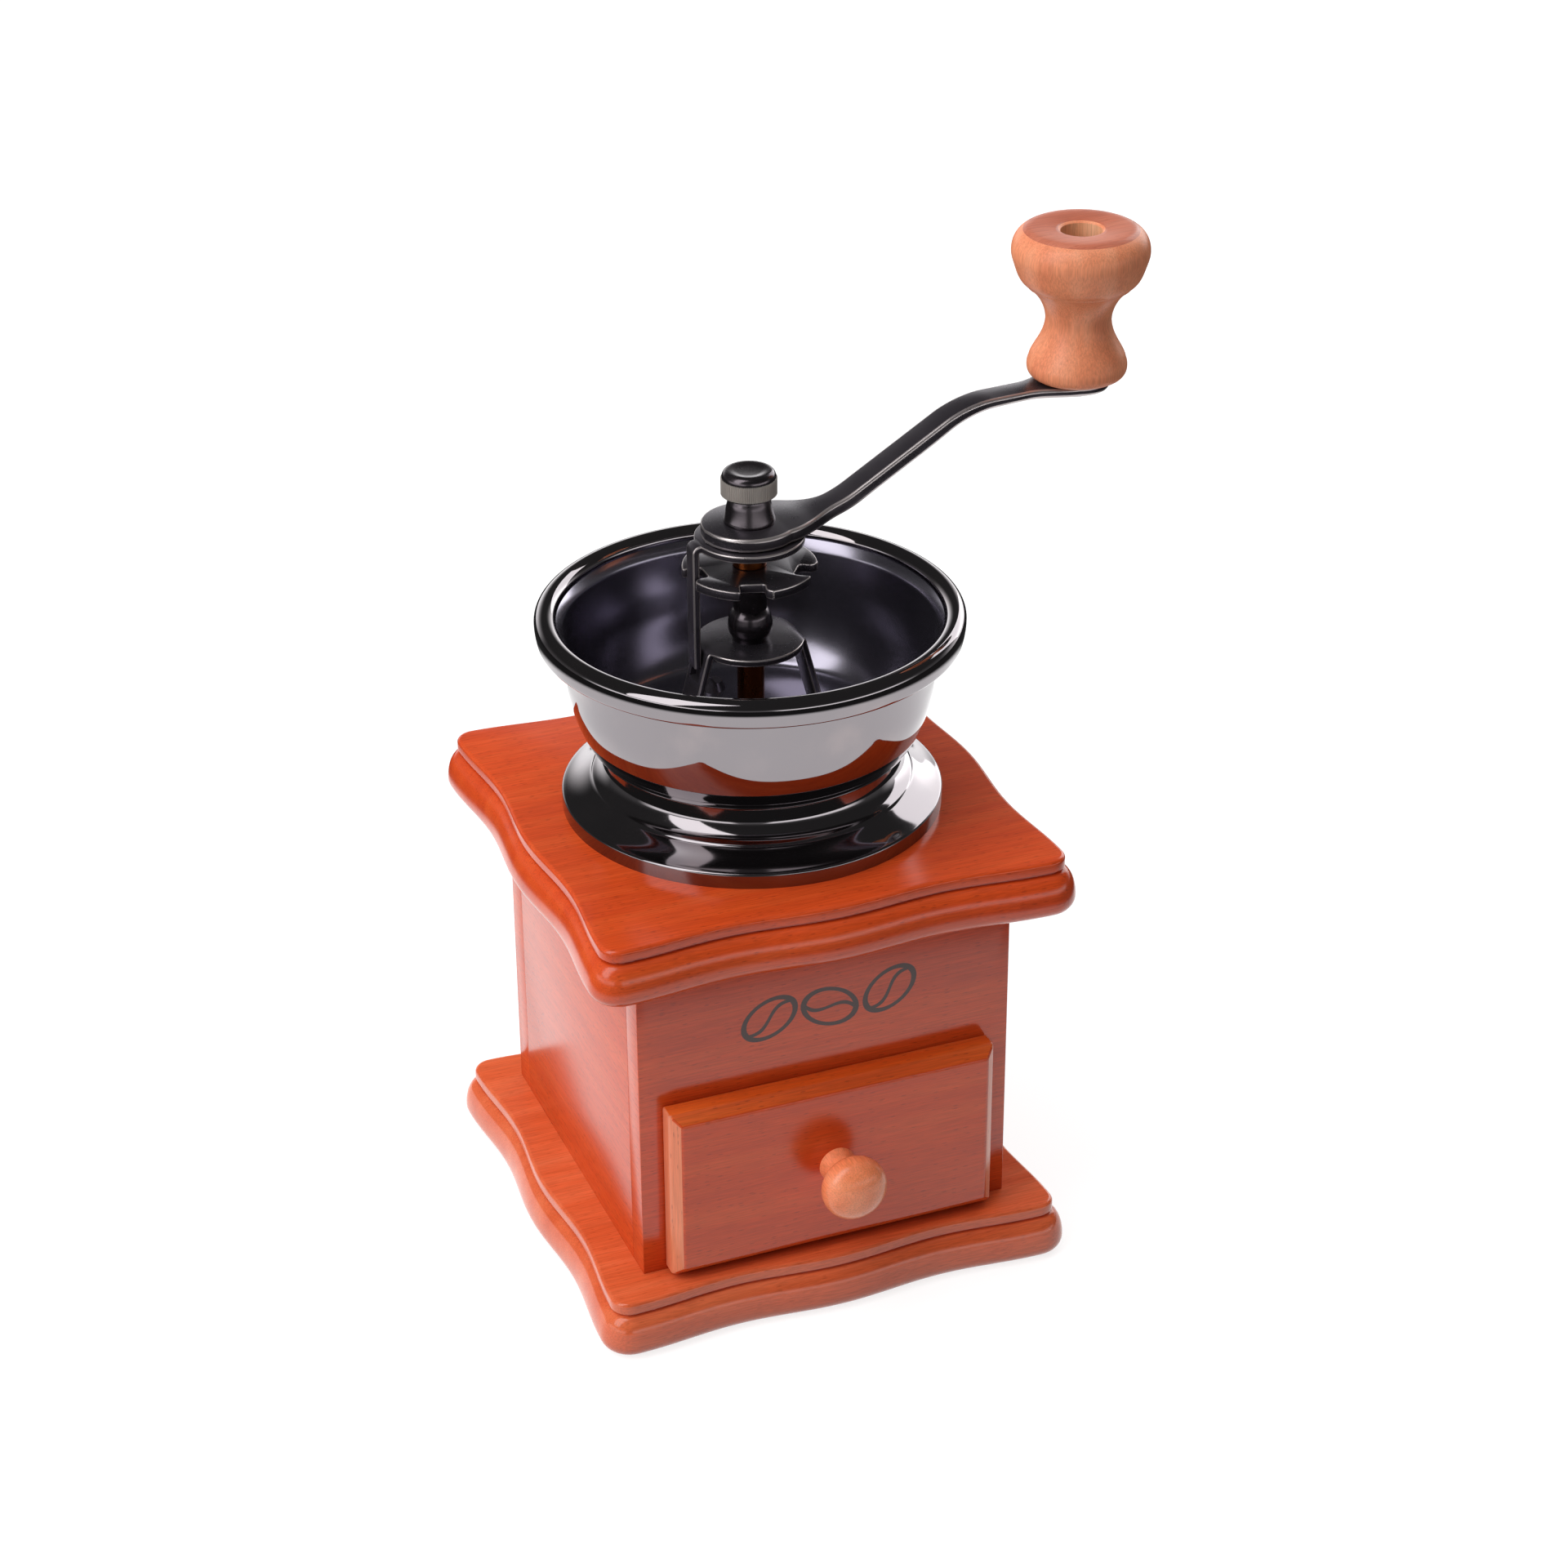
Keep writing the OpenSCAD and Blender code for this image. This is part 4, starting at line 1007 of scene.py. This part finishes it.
def bridge_path():
    """Along the bowl's floor, up one leg, over the round plate and down the other."""
    floor = z_bowl + SHEET + STRAP_T
    half = [(0, z_bridge), (BRIDGE_R - BRIDGE_FOLD_IN, z_bridge), (BRIDGE_R + BRIDGE_FOOT_OUT, floor),
            (BRIDGE_REACH, floor)]
    right = densify(rounded(half, BRIDGE_FOLD_RS, 6), 0.6)
    return [(-x, z) for x, z in right[:0:-1]] + right


bridge_line = bridge_path()
bridge_middle = run_length(bridge_line) / 2


def bridge_half_width(s):
    """The round plate's half width or the legs', whichever is more; the legs' ends have cut corners."""
    legs = disc_width(s, bridge_middle, bridge_middle) + BRIDGE_END_HALF
    return max(disc_width(s, bridge_middle, BRIDGE_R), min(BRIDGE_LEG_HALF, legs))


lock = pressed_strip("locking_plate_metal", lock_line, lock_half_width, strap_thickness, STRAP_EDGE)
bore(lock, 0, 0, LOCK_BORE_R, z_lock_top - STRAP_CUT, z_lock_top + PAST)
finish(lock, "case", "black_nickel", "locking_plate")

bridge = pressed_strip("lower_bridge_metal", bridge_line, bridge_half_width, strap_thickness, STRAP_EDGE)
slot_half = LEG_HALF + LEG_PLAY
cut(bridge, prism("cutter", [(SLOT_X[0], -slot_half), (SLOT_X[1], -slot_half), (SLOT_X[1], slot_half),
                             (SLOT_X[0], slot_half)], z_bridge - SLOT_CUT, z_bridge + PAST))
bore(bridge, 0, 0, BRIDGE_BORE_R, z_bridge - STRAP_CUT, z_bridge + PAST)
finish(bridge, "case", "black_nickel", "lower_bridge")


# ---------------------------------------------------------------- sleeve, bush, wheel and shaft

SHAFT_BORE_R = 3.56
SHAFT_R = 3.5
SHAFT_TAIL_R = 2.5
SHAFT_STUD_R = 2.4
SLEEVE_R = 4.3
WHEEL_R = 17.2
WHEEL_BORE_R = 4.36
WHEEL_EDGE = 0.28
NOTCH_COUNT = 5
NOTCH_HALF = 3.2
NOTCH_DEPTH = 5.0

stem_h = z_wheel_top - z_bridge
sleeve_profile = joined([(SHAFT_BORE_R, 0), (4.6, 0), (4.8, 0.9), (5.0, 1.3)],
                        ((6.0, 2.4), (5.9, 4.6), (5.4, 6.2), 9),
                        ((5.2, 7.4), (4.8, 8.0), (SLEEVE_R, 8.6), 8),
                        [(SLEEVE_R, stem_h), (SHAFT_BORE_R, stem_h)])
sleeve = lathe("bridge_sleeve_metal", sleeve_profile, (0, 0, z_bridge))
finish(coat(sleeve, black_nickel_soft), "case", "black_nickel", "bridge_sleeve")

bush_h = box_mm("thrust_bush")[1][2] - z_wheel_top
bush_profile = [(SHAFT_BORE_R, 0), (SLEEVE_R - 0.2, 0), (SLEEVE_R, 0.2), (SLEEVE_R, bush_h - 0.2),
                (SLEEVE_R - 0.2, bush_h), (SHAFT_BORE_R, bush_h)]
bush = lathe("thrust_bush_metal", bush_profile, (0, 0, z_wheel_top))
finish(coat(bush, dull_bronze), "case", "bronze", "thrust_bush")


def on_rim(*degrees):
    """Points on the wheel's rim."""
    return [(WHEEL_R * math.cos(math.radians(a)), WHEEL_R * math.sin(math.radians(a))) for a in degrees]


def wheel_outline():
    """Five square notches; beside each one the rim is drawn back in a small hook."""
    deep = WHEEL_R - NOTCH_DEPTH
    notch = [(WHEEL_R - 1.8, NOTCH_HALF), (deep, NOTCH_HALF), (deep, -NOTCH_HALF),
             (WHEEL_R - 0.6, -NOTCH_HALF)]
    notch = rounded(on_rim(17) + notch + on_rim(-13), [1.0, 0.9, 0.9, 0.5], 4)
    part = on_rim(*range(50, 20, -5), 19) + notch + on_rim(-16, -19)
    outline = []
    for k in reversed(range(NOTCH_COUNT)):
        a = math.pi + 2 * math.pi * k / NOTCH_COUNT
        outline += [(x * math.cos(a) - y * math.sin(a), x * math.sin(a) + y * math.cos(a)) for x, y in part]
    return outline


wheel = coat(prism("adjusting_wheel_metal", wheel_outline(), z_wheel, z_wheel_top), black_nickel_satin,
             worn_edge_and_highlight)
# The rounded edges take the light edge colour: partly wear, partly a painted highlight
soften(wheel, WHEEL_EDGE, 2, 40, edge_material=1)
bore(wheel, 0, 0, WHEEL_BORE_R, z_wheel - PAST, z_wheel_top + PAST)
finish(wheel, "adjuster", "black_nickel", "adjusting_wheel")

z_shaft, z_shaft_top = [corner[2] for corner in box_mm("drive_shaft")]
z_cone = box_mm("cone_burr")[0][2]
shaft_profile = [(0, z_shaft), (SHAFT_TAIL_R - 0.4, z_shaft), (SHAFT_TAIL_R, z_shaft + 0.5),
                 (SHAFT_TAIL_R, z_cone), (SHAFT_R, z_cone), (SHAFT_R, z_hub), (SHAFT_STUD_R, z_hub),
                 (SHAFT_STUD_R, z_shaft_top), (0, z_shaft_top)]
shaft = lathe("drive_shaft_metal", shaft_profile, (0, 0, 0), segments=64, closed=False)
finish(coat(shaft, dull_bronze), "crank", "bronze", "drive_shaft")


# ---------------------------------------------------------------- crank knob

KNOB_FOOT_R = 13.0
KNOB_WAIST_R = 8.5
KNOB_BORE_R = 3.06
COUNTERBORE_R = 5.4
COUNTERBORE_H = 14.0


def knob_profile():
    """The knob from its bore up: rounded foot, waist, fine ring, broad head, dished top, counterbore."""
    r = (knob_high[0] - knob_low[0]) / 2
    h = knob_high[2] - knob_low[2]
    foot = KNOB_FOOT_R
    waist = KNOB_WAIST_R
    hole = COUNTERBORE_R
    return joined([(KNOB_BORE_R, 0), (foot - 3, 0)],
                  ((foot - 0.8, 0.3), (foot, 1.6), (foot, 3.2), 8),
                  ((foot, 4.0), (foot - 0.15, 4.6), (foot - 0.35, 5.0), 4),
                  ((foot - 0.9, 8.0), (waist + 0.4, 10.5), (waist, 15.6), 12),
                  ((waist, 18.8), (waist + 1.9, 22.6), (waist + 4.8, 24.7), 10),
                  [(waist + 5.1, 24.9), (waist + 5.15, 25.2), (waist + 5.7, 25.6)],
                  ((waist + 7.4, 26.8), (r - 1.4, 28.8), (r - 0.6, 31.2), 12),
                  ((r - 0.2, 32.4), (r, 33.2), (r, 34), 5),
                  ((r, 37.2), (r - 1.6, h - 1.1), (r - 4.0, h - 0.2), 12),
                  ((r - 6, h), (hole + 2, h - 0.4), (hole + 0.6, h - 0.5), 6),
                  [(hole, h - 1.0), (hole, h - COUNTERBORE_H), (KNOB_BORE_R, h - COUNTERBORE_H)])


knob = lathe("crank_knob_wood", knob_profile(), (knob_x, knob_y, knob_low[2]), segments=128, sharp_angle=50)
coat(knob, turned_upright, turned_inside, turned_top)
# The bores, and the nearly level faces of the top
for face in knob.data.polygons:
    from_axis = math.hypot(face.center.x / MM - knob_x, face.center.y / MM - knob_y)
    if from_axis < COUNTERBORE_R + 0.1:
        face.material_index = 1
    elif face.normal.z > 0.88:
        face.material_index = 2
finish(knob, "knob", "turned_wood", "crank_knob")


# ---------------------------------------------------------------- nodes that keep their CAD shape

for material, nodes in ((raw_beech, ("drawer_guides", "top_dowels")),
                        (zinc_steel, ("base_screws", "drawer_knob_screw", "hopper_washers", "hopper_nuts",
                                      "guide_screws", "lower_guide", "burr_washer", "burr_nut",
                                      "knob_spindle")),
                        (black_nickel_satin, ("hopper_bolts",)),
                        (burr_iron, ("ring_burr", "cone_burr"))):
    for node in nodes:
        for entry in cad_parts[node].material_slots:
            entry.material = material


# ---------------------------------------------------------------- camera

FRAME_PX = 1920
FOCAL_PX = 4386.7
SENSOR = 36.0
AZIMUTH = math.radians(-21.6)
PITCH = math.radians(28.57)
ROLL = math.radians(-0.313)
EYE = Vector((-0.29424, -0.76585, 0.57053))


def standing_camera():
    """A long lens, looking down on the drawer side from the left."""
    data = bpy.data.cameras.new("camera")
    data.sensor_width = SENSOR
    data.lens = FOCAL_PX / FRAME_PX * SENSOR
    data.clip_start = 0.01
    camera = bpy.data.objects.new("camera", data)
    bpy.context.scene.collection.objects.link(camera)
    bpy.context.scene.camera = camera
    level = Vector((math.cos(AZIMUTH), math.sin(AZIMUTH), 0))
    away = Vector((math.sin(AZIMUTH), -math.cos(AZIMUTH), 0))
    back = away * math.cos(PITCH) + Vector((0, 0, math.sin(PITCH)))
    up = back.cross(level)
    right = level * math.cos(ROLL) + up * math.sin(ROLL)
    top = up * math.cos(ROLL) - level * math.sin(ROLL)
    camera.matrix_world = Matrix.Translation(EYE) @ Matrix((right, top, back)).transposed().to_4x4()


standing_camera()


# ---------------------------------------------------------------- floor

FLOOR_REACH = 6.0
FLOOR_GAP = 0.0002
TABLE_EDGE = (0.28, 0.34)   # the table fades out in mirrors between these distances from the grinder
WHITE = (1, 1, 1, 1)


def white_paper():
    """White paper on a table: white to the eye with a soft shadow, and white in mirrors up to its edge."""
    material, tree = new_material("white paper table")
    position = add(tree, "ShaderNodeTexCoord").outputs["Object"]
    from_centre = add(tree, "ShaderNodeVectorMath", {0: position}, operation="LENGTH").outputs["Value"]
    table = add(tree, "ShaderNodeMapRange", {0: from_centre, 1: TABLE_EDGE[0], 2: TABLE_EDGE[1], 3: 1.0,
                                             4: 0.02}, **EASED)
    # What the eye sees: mostly its own white, the rest lit paper that takes the shadow
    lit = add(tree, "ShaderNodeBsdfDiffuse", {"Color": (0.3, 0.3, 0.3, 1)})
    own = add(tree, "ShaderNodeEmission", {"Color": WHITE, "Strength": 0.82})
    seen = add(tree, "ShaderNodeAddShader", {0: lit, 1: own})
    # What mirrors see: the round table, then darkness
    glow = add(tree, "ShaderNodeMath", {0: table, 1: 1.05}, operation="MULTIPLY")
    round_paper = add(tree, "ShaderNodeMix", {0: table, 6: (0, 0, 0, 1), 7: (0.35, 0.35, 0.35, 1)},
                      **COLOUR).outputs[2]
    mirrored = add(tree, "ShaderNodeAddShader",
                   {0: add(tree, "ShaderNodeBsdfDiffuse", {"Color": round_paper}),
                    1: add(tree, "ShaderNodeEmission", {"Color": WHITE, "Strength": glow})})
    # What scattered light sees: plain grey paper
    plain = add(tree, "ShaderNodeBsdfDiffuse", {"Color": (0.5, 0.5, 0.5, 1)})
    ray = add(tree, "ShaderNodeLightPath").outputs
    unseen = add(tree, "ShaderNodeMixShader", {0: ray["Is Glossy Ray"], 1: plain, 2: mirrored})
    surface = add(tree, "ShaderNodeMixShader", {0: ray["Is Camera Ray"], 1: unseen, 2: seen})
    add(tree, "ShaderNodeOutputMaterial", {"Surface": surface})
    return material


corners = [(-FLOOR_REACH, -FLOOR_REACH, 0), (FLOOR_REACH, -FLOOR_REACH, 0), (FLOOR_REACH, FLOOR_REACH, 0),
           (-FLOOR_REACH, FLOOR_REACH, 0)]
floor_mesh = bpy.data.meshes.new("floor")
floor_mesh.from_pydata(corners, [], [[0, 1, 2, 3]])
floor = coat(new_object("floor", floor_mesh), white_paper())
floor.location.z = -FLOOR_GAP


# ---------------------------------------------------------------- light

# Middle of the grinder, which the lamps point at
MIDDLE = Vector((0, 0, 0.12))

# Directions in the room: behind the grinder, towards the eye, and the brightest part of the ceiling
TO_REAR = (0.5, 0.866, 0)
TO_EYE = (-0.368, -0.93, 0)
TO_CEILING = (-0.45, 0.42, 0.788)
ROOM = 0.05                 # how bright the rest of the room is in mirrors


def studio_world():
    """White to the eye. Mirrors see a dark room with a pale backdrop low at the rear and windows low in
    front, and scattered light comes mostly from the ceiling at the left rear."""
    world = bpy.data.worlds.new("studio")
    bpy.context.scene.world = world
    world.use_nodes = True
    tree = world.node_tree
    tree.nodes.clear()
    direction = add(tree, "ShaderNodeTexCoord").outputs["Generated"]
    height = add(tree, "ShaderNodeSeparateXYZ", {"Vector": direction}).outputs["Z"]
    rear, eye, ceiling = [add(tree, "ShaderNodeVectorMath", {0: direction, 1: towards},
                              operation="DOT_PRODUCT").outputs["Value"]
                          for towards in (TO_REAR, TO_EYE, TO_CEILING)]
    # Each light in mirrors is a band in height times where it stands round the room
    low = add(tree, "ShaderNodeMapRange", {0: height, 1: 0.08, 2: 0.42, 3: 2.0, 4: 0.0}, **EASED)
    behind = add(tree, "ShaderNodeMapRange", {0: rear, 1: 0.5, 2: 0.9, 3: 0.05, 4: 1.0}, **EASED)
    backdrop = add(tree, "ShaderNodeMath", {0: low, 1: behind}, operation="MULTIPLY")
    sill = add(tree, "ShaderNodeMapRange", {0: height, 1: 0.1, 2: 0.22, 3: 2.2, 4: 0.0}, **EASED)
    in_front = add(tree, "ShaderNodeMapRange", {0: eye, 1: -0.1, 2: 0.3}, **EASED)
    past_eye = add(tree, "ShaderNodeMapRange", {0: eye, 1: 0.955, 2: 0.985, 3: 1.0, 4: 0.05}, **EASED)
    glass = add(tree, "ShaderNodeMath", {0: in_front, 1: past_eye}, operation="MULTIPLY")
    lights = add(tree, "ShaderNodeMath", {0: sill, 1: glass, 2: backdrop}, operation="MULTIPLY_ADD")
    room = add(tree, "ShaderNodeMath", {0: lights, 1: ROOM}, operation="ADD")
    fill = add(tree, "ShaderNodeMapRange", {0: ceiling, 1: -0.1, 2: 1.0, 3: 0.05, 4: 1.22}, **EASED)
    mirrored, scattered, seen = [add(tree, "ShaderNodeBackground", {"Color": WHITE, "Strength": strength})
                                 for strength in (room, fill, 1.0)]
    ray = add(tree, "ShaderNodeLightPath").outputs
    unseen = add(tree, "ShaderNodeMixShader", {0: ray["Is Glossy Ray"], 1: scattered, 2: mirrored})
    surface = add(tree, "ShaderNodeMixShader", {0: ray["Is Camera Ray"], 1: unseen, 2: seen})
    add(tree, "ShaderNodeOutputWorld", {"Surface": surface})


def softbox(name, azimuth, elevation, distance, width, height, power):
    """An area lamp aimed at the middle of the grinder; azimuth from +X towards +Y, in degrees."""
    data = bpy.data.lights.new(name, "AREA")
    data.shape = "RECTANGLE"
    data.size = width
    data.size_y = height
    data.energy = power
    lamp = bpy.data.objects.new(name, data)
    bpy.context.scene.collection.objects.link(lamp)
    a = math.radians(azimuth)
    e = math.radians(elevation)
    away = Vector((math.cos(a) * math.cos(e), math.sin(a) * math.cos(e), math.sin(e)))
    lamp.location = MIDDLE + away * distance
    lamp.rotation_euler = away.to_track_quat("Z", "Y").to_euler()


studio_world()
softbox("tall left softbox", -163, 45, 1.4, 0.7, 1.7, 12)
softbox("rear right softbox", 34, 24, 1.4, 0.7, 0.8, 5)
bpy.context.scene.view_settings.view_transform = "Standard"
